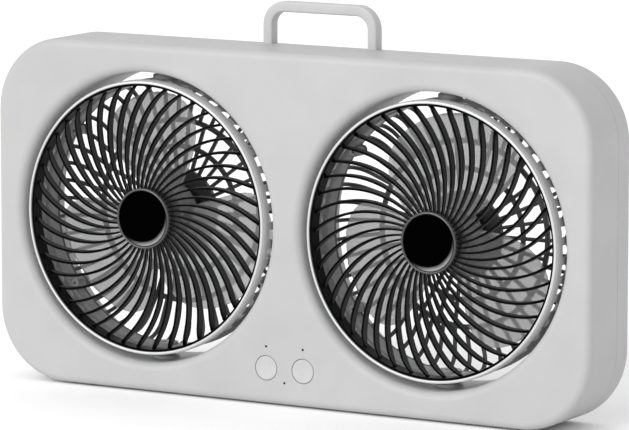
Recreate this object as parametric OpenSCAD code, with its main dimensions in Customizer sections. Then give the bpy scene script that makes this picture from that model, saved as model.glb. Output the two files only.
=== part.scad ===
// Twin-head table fan: two round fan heads hang on upright pivots in the through-holes of one flat housing.
// X is the width, the fan blows towards -Y, and Z is up. The origin is under the middle of the fan.

/* [Housing] */
// Width of the housing
housing_w = 440; // [432:2:480]
// Height of the housing without its feet
housing_h = 228; // [226:2:260]
// Depth of the housing, front face to back face
housing_d = 54; // [52:1:64]
// Radius of the housing's four corners, seen from the front
corner_r = 49; // [30:1:60]
// Radius of the soft edge round the front face
front_edge_r = 5; // [3:0.5:8]
// Radius of the soft edge round the back face
back_edge_r = 3; // [2:0.5:5]
// Wall thickness of both shells
wall = 2.4; // [2:0.2:3]
// Depth of the parting line behind the front face
parting_depth = 37; // [37:0.5:38]
// Gap that shows as the parting line
parting_gap = 0.2; // [0.1:0.1:0.4]
// Distance of each head's centre from the middle of the housing
head_x = 106.1; // [104:0.5:110]
// Radius of the through-hole that a head swings in
hole_r = 95.3; // [94.8:0.1:97]
// Radius of the soft edge round the front of a through-hole
hole_edge_r = 5.5; // [3:0.5:7]

/* [Handle] */
// Overall width of the handle
handle_w = 84.6; // [76:1:100]
// Height of the handle above the housing
handle_rise = 28; // [24:1:40]
// Thickness of the handle's legs and bar, seen from the front
handle_bar = 6.9; // [6:0.5:9]
// Depth of the handle from front to back
handle_d = 8.4; // [7:0.2:9]
// Distance of the handle's back in front of the housing's back face
handle_inset = 1.6; // [1:0.2:3]
// Outer radius of the handle's two bends
handle_bend_r = 15.5; // [12:0.5:20]
// Length of each leg's tongue inside the housing
handle_tongue = 15; // [13:1:18]

/* [Buttons and lights] */
// Distance of each button from the middle of the housing
button_x = 13.65; // [12:0.5:20]
// Height of the buttons above the housing's underside
button_z = 23.5; // [21:0.5:28]
// Radius of a push button
button_r = 7.85; // [6:0.1:9]
// Gap round a push button
button_gap = 0.2; // [0.1:0.05:0.4]
// Travel of a push button
button_travel = 0.8; // [0.4:0.1:1]
// Height of the two upper indicator lights above the buttons
light_rise = 14.1; // [13:0.1:16]
// Drop of the charge light below the buttons
light_drop = 8.8; // [8.4:0.1:10]
// Radius of an indicator light
light_r = 0.75; // [0.6:0.05:1.2]

/* [Fan head] */
// Outer radius of the bright trim ring
ring_r = 90.2; // [88:0.1:90.4]
// Inner radius of the bright trim ring
ring_bore_r = 88; // [86:0.1:88.4]
// Depth of the trim ring from front to back
ring_d = 10; // [8:0.5:11]
// Depth of the head from the ring's front to the rear guard's back
head_d = 47.5; // [46:0.5:50]
// Depth of the drum's back end behind the ring's front, where the rear guard begins
drum_back = 30; // [29:0.5:32]
// Outer radius of the head's drum
drum_r = 89.3; // [88.6:0.1:89.8]
// Inner radius of the head's drum
drum_bore_r = 86.4; // [85.8:0.1:86.8]
// Number of spiral ribs in the front grille, and of vents round the drum
rib_count = 45; // [30:1:48]
// Thickness of a front rib
rib_t = 1.4; // [1:0.1:1.8]
// Depth of a front rib
rib_d = 6; // [4:0.5:7]
// Angle that a front rib turns through between the hub and the rim
rib_twist = 34.4; // [20:0.2:40]
// Radius of the arc that a front rib follows
rib_arc_r = 69; // [60:1:120]
// Radius of the hub cap in the middle of the grille
cap_r = 20; // [18:0.5:22]
// Height of the hub cap in front of the ring
cap_proud = 2; // [1:0.5:4]
// Radius of the glossy disc in the hub cap
disc_r = 17.3; // [15:0.1:17.5]

/* [Fan] */
// Radius of the fan's blade tips
fan_r = 80; // [70:1:80]
// Radius of the fan's hub
fan_hub_r = 21; // [20:0.5:24]
// Thickness of a blade
blade_t = 1.6; // [1.2:0.1:2]
// Distance that a blade covers from front to back
blade_rise = 17; // [10:1:18]
// Radius of the motor
motor_r = 17.5; // [14:0.5:18]
// Radius of the motor shaft
shaft_r = 1.5; // [1.5:0.25:2.5]

/* [Rear guard] */
// Number of radial ribs inside the guard's outer hoop
spoke_count = 30; // [12:1:36]
// Radius of the guard's outer hoop
hoop_r = 60; // [56:0.5:66]
// Radius of the guard's middle hoop
mid_hoop_r = 42.5; // [38:0.5:48]
// Radius of the motor plate in the middle of the guard
plate_r = 28; // [25:0.5:30]
// Thickness of a guard rib, seen from behind
guard_rib_t = 2.4; // [1.6:0.1:2.8]
// Outer radius of the bend where the guard's outer ribs turn forward to the drum
guard_bend_r = 13; // [8:0.5:14]

/* [Pivots and feet] */
// Radius of the pivot pins above and below each head
pin_r = 3; // [2.5:0.25:3.5]
// Running clearance between a pin or shaft and what turns on it
running_gap = 0.05; // [0.02:0.01:0.1]
// Radius of a rubber foot
foot_r = 6; // [4:0.5:6.5]
// Height of a rubber foot below the housing
foot_proud = 1.2; // [1:0.1:2]

/* [Hidden] */
$fn = 120;
eps = 0.02;
seat_gap = 0.15;
front_y = (cap_proud - housing_d) / 2;
base_z = foot_proud;
mid_z = base_z + housing_h / 2;
top_z = base_z + housing_h;
pivot_depth = housing_d / 2;
back_depth = parting_depth + parting_gap;
inner_back = housing_d - wall;
hole_wall_r = hole_r + wall;

// Front ribs and the rim that carries them
rim_set_back = 0.8;
rim_d = ring_d + 1;
rim_r = ring_bore_r - 0.1;
rim_bore_r = drum_bore_r;
rib_front = 0.6;
rib_fall = 4;
rib_fall_r = 80;
rib_root_r = cap_r - 1.2;
collar_drop = 0.5;
cap_skirt = 6;
disc_t = 0.9;
disc_drop = 0.15;

// Drum and rear guard
guard_t = 3.5;
plate_front = head_d - guard_t;
drum_front = ring_d + seat_gap;
vent_w = 6;
vent_front = drum_front - vent_w / 2 - 0.1;
vent_back = drum_front + 6.4;
guard_slant = -2;
guard_wall = 2.3;
guard_band = 2.6;
guard_set_in = 0.3;
hoop_w = 3.2;
guard_screw_angles = [37, 143, 217, 323];
guard_screw_circle_r = drum_bore_r - 1.8;
guard_boss_r = 3.4;
guard_boss_d = 9;
guard_boss_drop = 0.1;
guard_lug_back = drum_back + 4.2;

// Fan, shaft and motor
hub_front = 14.5;
hub_back = 33;
hub_wall = 2;
hub_nose_r = 4.5;
motor_front = 21;
motor_lip_r = 5;
motor_lip_d = 1.2;
motor_screw_pcd_r = 11;
motor_screw_count = 3;
shaft_front = 13.6;
shaft_back = plate_front - 4;
blade_rows = 14;
blade_root_sunk = 1;
blade_clear = 12;
blade_shell_r = 104;
shell_root_offset = 50;
shell_tip_offset = 20;
blade_phase = [95, 96];

// Pivots: pins fixed in the housing, flanged bushes in the drum
pivot_boss_r = 8;
pivot_boss_top = 92;
pivot_boss_root = 85;
bush_r = 4.5;
bush_flange_r = 6.5;
bush_flange_t = 1.2;
pivot_pad_r = 9;
pivot_pad_z = pivot_boss_top + bush_flange_t + seat_gap;
pin_tip_z = pivot_boss_root + 0.6;
pin_top_z = 106;

// Screws
screw_r = 1.5;
screw_head_r = 2.9;
screw_head_t = 1.8;
small_screw_r = 1;
small_screw_head_r = 2;
small_screw_head_t = 1.3;
boss_r = 4.6;
case_screw_inset = 24;
case_screw_low = 66;
case_screw_drop = 38;
case_screw_places = concat(
    [for (sx = [-1, 1], y = [case_screw_inset, housing_h - case_screw_inset]) [sx * (housing_w / 2 - case_screw_inset), y]],
    [[0, case_screw_low], [0, housing_h - case_screw_drop]]);
case_screw_grip = 9;
case_screw_sink = 2.2;

// Control board, switches, cells and charging inlet
board_depth = 9;
board_t = 1.6;
board_w = 62;
chip_x = 12;
chip_rise = 5;
chip_w = 9;
chip_t = 1.4;
coil_x = 6;
coil_w = 5.5;
coil_t = 2.4;
capacitor_x = 16;
capacitor_r = 3.2;
capacitor_l = 5;
plug_x = 6;
plug_drop = 3.5;
plug_w = 8;
plug_h = 5;
plug_d = 6;
board_low = button_z - light_drop - 3.7;
board_high = button_z + light_rise + 6.4;
board_middle = (board_low + board_high) / 2;
post_r = 2.8;
post_inset = 4;
post_x = board_w / 2 - post_inset;
post_low = board_low + post_inset;
post_high = board_high - post_inset;
button_flange_r = button_r + 1.3;
button_flange_t = 1;
button_stem_r = 2;
switch_w = 6;
switch_d = 3.2;
plunger_r = 1.6;
cell_r = 9.2;
cell_l = 65;
cell_nub_r = 3;
cell_nub_l = 1.5;
cell_z = 14.6;
cell_gap = 0.4;
cell_depth = inner_back - cell_gap - cell_r;
tray_t = 1.6;
cell_x = (cell_l + tray_t) / 2 + seat_gap;
tray_h = 10;
port_w = 8.94;
port_h = 3.26;
port_l = 7.3;
port_z = 50;
port_board_w = 16;
port_board_l = 14;
foot_inset = 70;
foot_x = housing_w / 2 - foot_inset;
foot_front = front_edge_r + foot_r + 2;
foot_rear = (back_depth + housing_d - back_edge_r) / 2;
foot_places = [for (x = [-foot_x, foot_x], d = [foot_front, foot_rear]) [x, d]];
foot_sunk = 0.8;

// Handle
handle_set_back = housing_d - handle_inset - handle_d;
tongue_t = 3.4;
tongue_w = 5.4;
handle_boss_r = 3.2;
handle_edge = 1.2;

// Placing helpers

// Turns a shape drawn as [across, up, forward from the front face] into the fan's own frame
module face_frame() {
    translate([0, front_y, base_z]) rotate([90, 0, 0]) children();
}

// The same frame at the middle of a head: side 0 is the left head, side 1 is its mirror image
module head_frame(side) {
    translate([(2 * side - 1) * head_x, front_y, mid_z]) rotate([90, 0, 0])
        if (side == 1) mirror([1, 0, 0]) children();
        else children();
}

// A plain disc or post that starts at a depth behind the front face and runs to a greater depth
module post(r, from_depth, to_depth) {
    translate([0, 0, -to_depth]) cylinder(r = r, h = to_depth - from_depth);
}

// A ring with a straight bore between two depths
module hoop(r, bore, from_depth, to_depth) {
    translate([0, 0, -to_depth]) difference() {
        cylinder(r = r, h = to_depth - from_depth);
        translate([0, 0, -1]) cylinder(r = bore, h = to_depth - from_depth + 2);
    }
}

// A box given by its centre across and up, its size, and its two depths
module slab(cx, cy, w, h, from_depth, to_depth) {
    translate([cx - w / 2, cy - h / 2, -to_depth]) cube([w, h, to_depth - from_depth]);
}

// Housing

module rounded_outline(w, h, r) {
    square([w - 2 * r, h], center = true);
    square([w, h - 2 * r], center = true);
    for (sx = [-1, 1], sy = [-1, 1])
        translate([sx * (w / 2 - r), sy * (h / 2 - r)]) circle(r);
}

// Half of the housing's section through its depth, from the middle out to half_w
module edge_section(half_w) {
    difference() {
        translate([0, -housing_d]) square([half_w, housing_d]);
        translate([half_w - front_edge_r, -front_edge_r]) difference() {
            square(front_edge_r + 1);
            circle(front_edge_r);
        }
        translate([half_w - back_edge_r, -housing_d - 1]) difference() {
            square([back_edge_r + 1, back_edge_r + 1]);
            translate([0, back_edge_r + 1]) circle(back_edge_r);
        }
    }
}

// The housing's whole outer form, drawn in the face frame
module housing_form() {
    reach_x = housing_w / 2 - corner_r;
    reach_y = housing_h / 2 - corner_r;
    translate([0, housing_h / 2, 0]) {
        for (s = [0, 1]) mirror([s, 0, 0])
            rotate([90, 0, 0]) linear_extrude(2 * reach_y, center = true) edge_section(housing_w / 2);
        for (s = [0, 1]) mirror([0, s, 0])
            rotate([90, 0, 90]) linear_extrude(2 * reach_x, center = true) edge_section(housing_h / 2);
        for (sx = [-1, 1], sy = [-1, 1])
            translate([sx * reach_x, sy * reach_y, 0]) rotate_extrude() edge_section(corner_r);
    }
}

module housing_cavity(from_depth, to_depth) {
    translate([0, housing_h / 2, -to_depth]) linear_extrude(to_depth - from_depth)
        rounded_outline(housing_w - 2 * wall, housing_h - 2 * wall, corner_r - wall);
}

module at_holes() {
    for (sx = [-1, 1]) translate([sx * head_x, housing_h / 2, 0]) children();
}

// The through-hole with its soft front and back edges
module hole_cut() {
    rotate_extrude() {
        translate([0, -housing_d - 1]) square([hole_r, housing_d + 2]);
        translate([hole_r, -hole_edge_r]) difference() {
            square([hole_edge_r, hole_edge_r + 1]);
            translate([hole_edge_r, 0]) circle(hole_edge_r);
        }
        translate([hole_r, -housing_d - 1]) difference() {
            square([back_edge_r, back_edge_r + 1]);
            translate([back_edge_r, back_edge_r + 1]) circle(back_edge_r);
        }
    }
}

// Bosses that carry the pivot pins above and below a head, with a flat pad in the hole
module pivot_mount() {
    for (a = [0, 180]) rotate([0, 0, a]) translate([0, 0, -pivot_depth]) rotate([-90, 0, 0])
        translate([0, 0, pivot_pad_z]) cylinder(r = pivot_pad_r, h = housing_h / 2 - pivot_pad_z - wall / 2);
}

module pivot_mount_bore() {
    for (a = [0, 180]) rotate([0, 0, a]) translate([0, 0, -pivot_depth]) rotate([-90, 0, 0])
        translate([0, 0, pivot_pad_z - 1]) cylinder(r = pin_r, h = pin_top_z - pivot_pad_z + 1);
}

module front_shell() {
    color([0.83, 0.83, 0.82]) face_frame() difference() {
        union() {
            difference() {
                housing_form();
                housing_cavity(wall, parting_depth + 1);
            }
            at_holes() hoop(hole_wall_r, hole_r - 1, wall - 1, parting_depth);
            at_holes() hoop(hole_r + hole_edge_r + wall / 2, hole_r - 1, wall - 1, hole_edge_r + wall);
            at_holes() intersection() {
                pivot_mount();
                hoop(housing_h / 2 - 1, hole_r - 4, pivot_depth - pivot_pad_r - 1, parting_depth);
            }
            for (p = case_screw_places) translate(p) post(boss_r, wall - 1, parting_depth);
            for (sx = [-1, 1], y = [post_low, post_high])
                translate([sx * post_x, y, 0]) post(post_r, wall - 1, board_depth);
        }
        translate([0, 0, -housing_d - 1]) linear_extrude(housing_d + 1 - parting_depth)
            square([2 * housing_w, 3 * housing_h], center = true);
        at_holes() difference() {
            hole_cut();
            pivot_mount();
        }
        at_holes() pivot_mount_bore();
        for (p = case_screw_places) translate(p) post(screw_r - 0.1, parting_depth - case_screw_grip, parting_depth + 1);
        for (sx = [-1, 1]) {
            translate([sx * button_x, button_z, 0]) post(button_r + button_gap, -1, wall + 1);
            translate([sx * button_x, button_z + light_rise, 0]) post(light_r, -1, wall + 1);
            for (y = [post_low, post_high])
                translate([sx * post_x, y, 0]) post(small_screw_r, board_depth - 5, board_depth + 1);
        }
        translate([0, button_z - light_drop, 0]) post(light_r, -1, wall + 1);
        foot_recesses(0, parting_depth);
    }
}

module rear_shell() {
    color([0.81, 0.81, 0.8]) face_frame() difference() {
        union() {
            difference() {
                housing_form();
                housing_cavity(back_depth - 1, inner_back);
            }
            at_holes() hoop(hole_wall_r, hole_r - 1, back_depth, inner_back + 1);
            for (p = case_screw_places) translate(p) post(boss_r, back_depth, inner_back + 1);
            for (sx = [-1, 1]) translate([sx * leg_x(), tongue_screw_y(), 0])
                post(handle_boss_r, tongue_back() + seat_gap, inner_back + 1);
            translate([0, port_z, 0]) port_bracket();
        }
        translate([0, 0, -back_depth]) linear_extrude(housing_d)
            square([2 * housing_w, 3 * housing_h], center = true);
        at_holes() hole_cut();
        for (p = case_screw_places) translate(p) {
            post(screw_r + 0.2, back_depth - 1, housing_d + 1);
            post(screw_head_r + 0.2, housing_d - case_screw_sink, housing_d + 1);
        }
        for (sx = [-1, 1]) {
            translate([sx * leg_x(), tongue_screw_y(), 0]) post(small_screw_r, tongue_back() - 1, housing_d - 1);
            slab(sx * leg_x(), housing_h - wall / 2, handle_bar + 0.2, wall + 1, handle_set_back - 0.1,
                handle_set_back + handle_d + 0.1);
        }
        slab(0, port_z, port_w + 0.4, port_h + 0.4, inner_back - 1, housing_d + 1);
        foot_recesses(back_depth, housing_d);
    }
}

module foot_recesses(from_depth, to_depth) {
    for (p = foot_places) if (p[1] > from_depth && p[1] < to_depth)
        translate([p[0], -1, -p[1]]) rotate([-90, 0, 0]) cylinder(r = foot_r + 0.1, h = foot_sunk + 1);
}

module case_screws() {
    color([0.7, 0.7, 0.72]) face_frame() for (p = case_screw_places) translate(p) {
        post(screw_r - 0.1, parting_depth - case_screw_grip + 1, housing_d - case_screw_sink);
        difference() {
            post(screw_head_r, housing_d - case_screw_sink, housing_d - case_screw_sink + screw_head_t);
            driver_cross(housing_d - case_screw_sink + screw_head_t);
        }
    }
}

// The cross in a screw's head, sunk from the given depth
module driver_cross(at_depth) {
    for (a = [0, 90]) rotate([0, 0, a]) slab(0, 0, 3.2, 0.8, at_depth - 0.9, at_depth + 1);
}

module rubber_feet() {
    color([0.15, 0.15, 0.16]) for (p = foot_places)
        translate([p[0], front_y + p[1], 0]) cylinder(r = foot_r, h = foot_proud + foot_sunk);
}

// Handle

function leg_x() = (handle_w - handle_bar) / 2;
function tongue_back() = handle_set_back + tongue_t;
function tongue_screw_y() = housing_h - handle_tongue + 5;

module handle_outline() {
    inner_r = handle_bend_r - handle_bar;
    difference() {
        bend_block(handle_w, handle_rise, handle_bend_r);
        bend_block(handle_w - 2 * handle_bar, handle_rise - handle_bar, inner_r);
    }
}

// A block with square feet and two rounded top corners, standing on the X axis
module bend_block(w, h, r) {
    translate([-w / 2, -wall - 1]) square([w, h - r + wall + 1]);
    translate([-w / 2 + r, -wall - 1]) square([w - 2 * r, h + wall + 1]);
    for (sx = [-1, 1]) translate([sx * (w / 2 - r), h - r]) circle(r);
}

module handle() {
    color([0.82, 0.82, 0.82]) face_frame() difference() {
        union() {
            intersection() {
                translate([0, housing_h, -handle_set_back - handle_d]) linear_extrude(handle_d) handle_outline();
                slab(0, housing_h + handle_rise / 2, handle_w + 2, handle_rise + 2 * wall, handle_set_back - 1,
                    housing_d);
            }
            for (sx = [-1, 1]) slab(sx * leg_x(), housing_h - (handle_tongue + 1) / 2, tongue_w, handle_tongue - 1,
                handle_set_back, tongue_back());
        }
        for (sx = [-1, 1]) translate([sx * leg_x(), tongue_screw_y(), 0])
            post(small_screw_r + 0.2, handle_set_back - 1, tongue_back() + 1);
    }
}

module handle_screws() {
    color([0.7, 0.7, 0.72]) face_frame() for (sx = [-1, 1]) translate([sx * leg_x(), tongue_screw_y(), 0]) {
        post(small_screw_r, handle_set_back, inner_back + 0.6);
        post(small_screw_head_r, handle_set_back - small_screw_head_t, handle_set_back);
    }
}

// Buttons, lights and electronics

module push_button(sx) {
    color([0.82, 0.82, 0.81]) face_frame() translate([sx * button_x, button_z, 0]) {
        post(button_r, 0, wall + seat_gap + eps);
        post(button_flange_r, wall + seat_gap, wall + seat_gap + button_flange_t);
        post(button_stem_r, wall + seat_gap, board_depth - switch_d - button_travel);
    }
}

module left_button() push_button(-1);
module right_button() push_button(1);

// A tactile switch on the board, with room for its plunger to be pressed
module tact_switch(sx) {
    color([0.2, 0.2, 0.22]) face_frame() translate([sx * button_x, button_z, 0]) difference() {
        slab(0, 0, switch_w, switch_w, board_depth - switch_d, board_depth);
        post(button_stem_r + 0.3, board_depth - switch_d - 1, board_depth - switch_d + button_travel + 0.2);
    }
}

module left_switch() tact_switch(-1);
module right_switch() tact_switch(1);

module indicator_lights() {
    color([0.1, 0.1, 0.1]) face_frame() {
        for (sx = [-1, 1]) translate([sx * button_x, button_z + light_rise, 0]) light_pipe();
        translate([0, button_z - light_drop, 0]) light_pipe();
    }
}

module light_pipe() {
    post(light_r, 0.3, board_depth - 1);
    post(light_r + 0.8, board_depth - 3, board_depth);
}

module control_board() {
    color([0.1, 0.35, 0.2]) face_frame() difference() {
        union() {
            slab(0, board_middle, board_w, board_high - board_low, board_depth, board_depth + board_t);
            slab(-chip_x, board_middle + chip_rise, chip_w, chip_w, board_depth + board_t, board_depth + board_t + chip_t);
            slab(coil_x, board_middle + chip_rise, coil_w, coil_w, board_depth + board_t, board_depth + board_t + coil_t);
            translate([capacitor_x, board_middle + chip_rise, 0])
                post(capacitor_r, board_depth + board_t, board_depth + board_t + capacitor_l);
            for (sx = [-1, 1]) slab(sx * plug_x, board_high - plug_drop, plug_w, plug_h,
                board_depth + board_t, board_depth + board_t + plug_d);
        }
        for (sx = [-1, 1], y = [post_low, post_high])
            translate([sx * post_x, y, 0]) post(small_screw_r + 0.2, board_depth - 1, board_depth + board_t + 1);
    }
}

module board_screws() {
    color([0.7, 0.7, 0.72]) face_frame() for (sx = [-1, 1], y = [post_low, post_high])
        translate([sx * post_x, y, 0]) {
            post(small_screw_r, board_depth - 4, board_depth + board_t);
            post(small_screw_head_r, board_depth + board_t, board_depth + board_t + small_screw_head_t);
        }
}

module battery_cells() {
    color([0.2, 0.4, 0.7]) face_frame() for (sx = [-1, 1])
        translate([sx * cell_x - cell_l / 2, cell_z, -cell_depth]) rotate([0, 90, 0]) {
            cylinder(r = cell_r, h = cell_l - cell_nub_l);
            cylinder(r = cell_nub_r, h = cell_l);
        }
}

// A tray on the housing's floor, with a trough for each cell and a wall at each end
module battery_tray() {
    half_l = cell_l / 2 + seat_gap;
    color([0.25, 0.25, 0.27]) face_frame() difference() {
        translate([-cell_x - half_l - tray_t, wall + 0.1, -cell_depth - cell_r + 1])
            cube([2 * (cell_x + half_l + tray_t), tray_h, 2 * cell_r - 2]);
        for (sx = [-1, 1]) translate([sx * cell_x - half_l, cell_z, -cell_depth]) rotate([0, 90, 0])
            cylinder(r = cell_r + 0.1, h = 2 * half_l);
    }
}

module charging_port() {
    color([0.75, 0.75, 0.77]) face_frame() translate([0, port_z, 0]) {
        difference() {
            slab(0, 0, port_w, port_h, housing_d - port_l, housing_d - 0.4);
            slab(0, 0, port_w - 0.6, port_h - 0.6, housing_d - port_l + 1, housing_d);
        }
        slab(0, 0, 6.2, 0.7, housing_d - port_l, housing_d - 1);
    }
}

module port_board() {
    color([0.1, 0.35, 0.2]) face_frame()
        slab(0, port_z - port_h / 2 - board_t / 2, port_board_w, board_t, housing_d - port_board_l,
            inner_back - seat_gap);
}

// The shelf that the inlet's small board rests on
module port_bracket() {
    slab(0, -port_h / 2 - board_t - 1 - 0.05, port_board_w + 4, 2, housing_d - port_board_l + 2, inner_back + 1);
}

// Pivots

module pivot_pins(side) {
    color([0.75, 0.75, 0.78]) head_frame(side) for (a = [0, 180])
        rotate([0, 0, a]) translate([0, 0, -pivot_depth]) rotate([-90, 0, 0])
            translate([0, 0, pin_tip_z]) cylinder(r = pin_r, h = pin_top_z - pin_tip_z);
}

module pivot_bushes(side) {
    color([0.85, 0.82, 0.7]) head_frame(side) for (a = [0, 180])
        rotate([0, 0, a]) translate([0, 0, -pivot_depth]) rotate([-90, 0, 0]) difference() {
            union() {
                translate([0, 0, pivot_boss_root]) cylinder(r = bush_r, h = pivot_boss_top - pivot_boss_root + eps);
                translate([0, 0, pivot_boss_top]) cylinder(r = bush_flange_r, h = bush_flange_t);
            }
            translate([0, 0, pivot_boss_root - 1]) cylinder(r = pin_r + running_gap, h = 20);
        }
}

// Fan head

module trim_ring(side) {
    lip_r = 1.6;
    color([0.78, 0.78, 0.8]) head_frame(side) rotate_extrude() difference() {
        translate([ring_bore_r, -ring_d]) square([ring_r - ring_bore_r, ring_d]);
        translate([ring_r - lip_r, -lip_r]) difference() {
            square(lip_r + 1);
            circle(lip_r);
        }
    }
}

// One front rib: an arc from the hub to the rim, which turns back as it goes out
module front_rib() {
    hub_end = rib_root_r * [cos(rib_twist), sin(rib_twist)];
    rim_end = [rim_bore_r + 0.8, 0];
    chord = hub_end - rim_end;
    half = norm(chord) / 2;
    across = [-chord[1], chord[0]] / norm(chord);
    centre = (hub_end + rim_end) / 2 + across * sqrt(rib_arc_r * rib_arc_r - half * half);
    from_hub = hub_end - centre;
    start = atan2(rim_end[1] - centre[1], rim_end[0] - centre[0]);
    turn = 2 * asin(half / rib_arc_r);
    translate([centre[0], centre[1], -rib_front - rib_d]) rotate([0, 0, start])
        rotate_extrude(angle = turn) translate([rib_arc_r - rib_t / 2, 0]) square([rib_t, rib_d]);
}

// What is cut from the ribs' outer ends, so that they fall away to the rim on a slope
module rib_fall_cut() {
    floor_z = -rib_front - rib_fall;
    rotate_extrude() polygon([[rib_fall_r - 1, 2], [rib_fall_r - 1, 0.4], [rim_bore_r - 0.6, floor_z],
        [rim_r + 5, floor_z], [rim_r + 5, 2]]);
}

module front_grille(side) {
    color([0.08, 0.08, 0.09]) head_frame(side) {
        difference() {
            for (i = [0 : rib_count - 1]) rotate([0, 0, i * 360 / rib_count]) front_rib();
            rib_fall_cut();
        }
        hoop(rim_r, rim_bore_r, rim_set_back, rim_d);
        hoop(cap_r - 0.4, cap_r - 2.2, rib_front + collar_drop, rib_front + rib_d + collar_drop);
    }
}

module hub_cap(side) {
    bevel = cap_r - disc_r;
    color([0.25, 0.25, 0.27]) head_frame(side) difference() {
        rotate_extrude() {
            translate([0, -rib_front + 0.1]) square([cap_r - bevel, cap_proud + rib_front - 0.1]);
            translate([0, -rib_front + 0.1]) square([cap_r, cap_proud + rib_front - 0.1 - bevel * 0.9]);
            intersection() {
                translate([cap_r - bevel, cap_proud - bevel * 0.9]) scale([1, 0.9]) circle(bevel);
                translate([0, -rib_front + 0.1]) square([cap_r, cap_proud + rib_front]);
            }
            translate([0, -cap_skirt]) square([cap_r - 2.3, cap_skirt]);
        }
        translate([0, 0, cap_proud - disc_t - disc_drop]) cylinder(r = disc_r, h = 5);
        translate([0, 0, -cap_skirt - 1]) cylinder(r = cap_r - 4.3, h = cap_skirt);
    }
}

module hub_disc(side) {
    color([0.02, 0.02, 0.02]) head_frame(side)
        translate([0, 0, cap_proud - disc_t - disc_drop]) cylinder(r = disc_r - 0.05, h = disc_t);
}

module drum(side) {
    color([0.3, 0.3, 0.32]) head_frame(side) difference() {
        union() {
            hoop(drum_r, drum_bore_r, drum_front, drum_back);
            for (a = [0, 180]) rotate([0, 0, a]) translate([0, 0, -pivot_depth]) rotate([-90, 0, 0])
                translate([0, 0, pivot_boss_root]) cylinder(r = pivot_boss_r, h = pivot_boss_top - pivot_boss_root);
            for (a = guard_screw_angles) rotate([0, 0, a]) translate([guard_screw_circle_r, 0, 0])
                post(guard_boss_r, drum_back - guard_boss_d, drum_back - guard_boss_drop);
        }
        post(rim_r + 0.1, 0, rim_d + 0.1);
        for (i = [0 : rib_count - 1]) rotate([0, 0, (i + 0.5) * 360 / rib_count]) vent_cut();
        for (a = [0, 180]) rotate([0, 0, a]) translate([0, 0, -pivot_depth]) rotate([-90, 0, 0])
            translate([0, 0, pivot_boss_root - 2]) cylinder(r = bush_r, h = 12);
        for (a = guard_screw_angles) rotate([0, 0, a]) translate([guard_screw_circle_r, 0, 0])
            post(small_screw_r, drum_back - guard_boss_d + 1.5, drum_back + 1);
    }
}

// A vent is a notch in the drum's front end, open towards the trim ring
module vent_cut() {
    half = vent_w / 2;
    translate([drum_r, 0, 0]) {
        translate([-5, -half, -vent_back + half]) cube([10, vent_w, vent_back - vent_front - vent_w]);
        for (d = [vent_front + half, vent_back - half])
            translate([-5, 0, -d]) rotate([0, 90, 0]) cylinder(r = half, h = 10);
    }
}

module rear_guard(side) {
    color([0.22, 0.22, 0.24]) head_frame(side) difference() {
        union() {
            hoop(drum_r, drum_bore_r, drum_back + seat_gap, drum_back + seat_gap + guard_band);
            for (a = guard_screw_angles) rotate([0, 0, a]) translate([guard_screw_circle_r, 0, 0])
                post(guard_boss_r, drum_back + seat_gap, guard_lug_back);
            hoop(hoop_r + hoop_w / 2, hoop_r - hoop_w / 2, head_d - guard_t + 0.6, head_d - 0.3);
            hoop(mid_hoop_r + hoop_w / 2, mid_hoop_r - hoop_w / 2, head_d - guard_t + 1, head_d - 0.4);
            post(plate_r, head_d - guard_t + seat_gap, head_d);
            for (i = [0 : rib_count - 1]) rotate([0, 0, (i + 0.5) * 360 / rib_count]) outer_guard_rib();
            for (i = [0 : spoke_count - 1]) rotate([0, 0, i * 360 / spoke_count])
                slab((plate_r + hoop_r) / 2, 0, hoop_r - plate_r + 1.4, guard_rib_t, head_d - guard_t + 0.8, head_d - 0.5);
        }
        for (a = guard_screw_angles) rotate([0, 0, a]) translate([guard_screw_circle_r, 0, 0]) {
            post(small_screw_r + 0.2, drum_back - 1, guard_lug_back + 1);
            post(small_screw_head_r + 0.2, guard_lug_back - small_screw_head_t - 0.2, guard_lug_back + 1);
        }
        for (a = [0, 180]) rotate([0, 0, a]) translate([0, 0, -pivot_depth]) rotate([-90, 0, 0])
            translate([0, 0, pivot_boss_root - 4]) cylinder(r = pivot_boss_r + 0.3, h = 12);
        for (i = [0 : motor_screw_count - 1]) rotate([0, 0, i * 360 / motor_screw_count])
            translate([motor_screw_pcd_r, 0, 0]) post(screw_r + 0.1, plate_front - 1, head_d + 1);
    }
}

// A rib from the outer hoop, out across the back and round the bend to the band behind the drum
module outer_guard_rib() {
    rim_end = (drum_r - guard_set_in) * [cos(guard_slant), sin(guard_slant)];
    run = rim_end - [hoop_r, 0];
    low = 0.5 - head_d;
    translate([hoop_r, 0, 0]) rotate([0, 0, atan2(run[1], run[0])]) translate([0, guard_rib_t / 2, 0])
        rotate([90, 0, 0]) linear_extrude(guard_rib_t) difference() {
            bend_section(norm(run), low, guard_bend_r);
            bend_section(norm(run) - guard_wall, low + guard_wall, guard_bend_r - guard_wall);
            translate([-2, low - 1]) square([2, head_d]);
            translate([-2, -drum_back - seat_gap - guard_band / 2]) square([hoop_r, head_d]);
        }
}

// All that lies within a reach and in front of a level, with the corner between them rounded
module bend_section(reach, level, bend) {
    difference() {
        translate([-1, level]) square([reach + 1, head_d]);
        translate([reach - bend, level - 1]) difference() {
            square(bend + 1);
            translate([0, bend + 1]) circle(bend);
        }
    }
}

module guard_screws(side) {
    color([0.5, 0.5, 0.52]) head_frame(side)
        for (a = guard_screw_angles) rotate([0, 0, a]) translate([guard_screw_circle_r, 0, 0]) {
            post(small_screw_r, drum_back - guard_boss_d + 2, guard_lug_back - small_screw_head_t - 0.2);
            difference() {
                post(small_screw_head_r, guard_lug_back - small_screw_head_t - 0.2, guard_lug_back - 0.2);
                for (b = [0, 90]) rotate([0, 0, b]) slab(0, 0, 2.2, 0.6, guard_lug_back - 0.8, guard_lug_back + 1);
            }
        }
}

// Motor, shaft and fan

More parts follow.
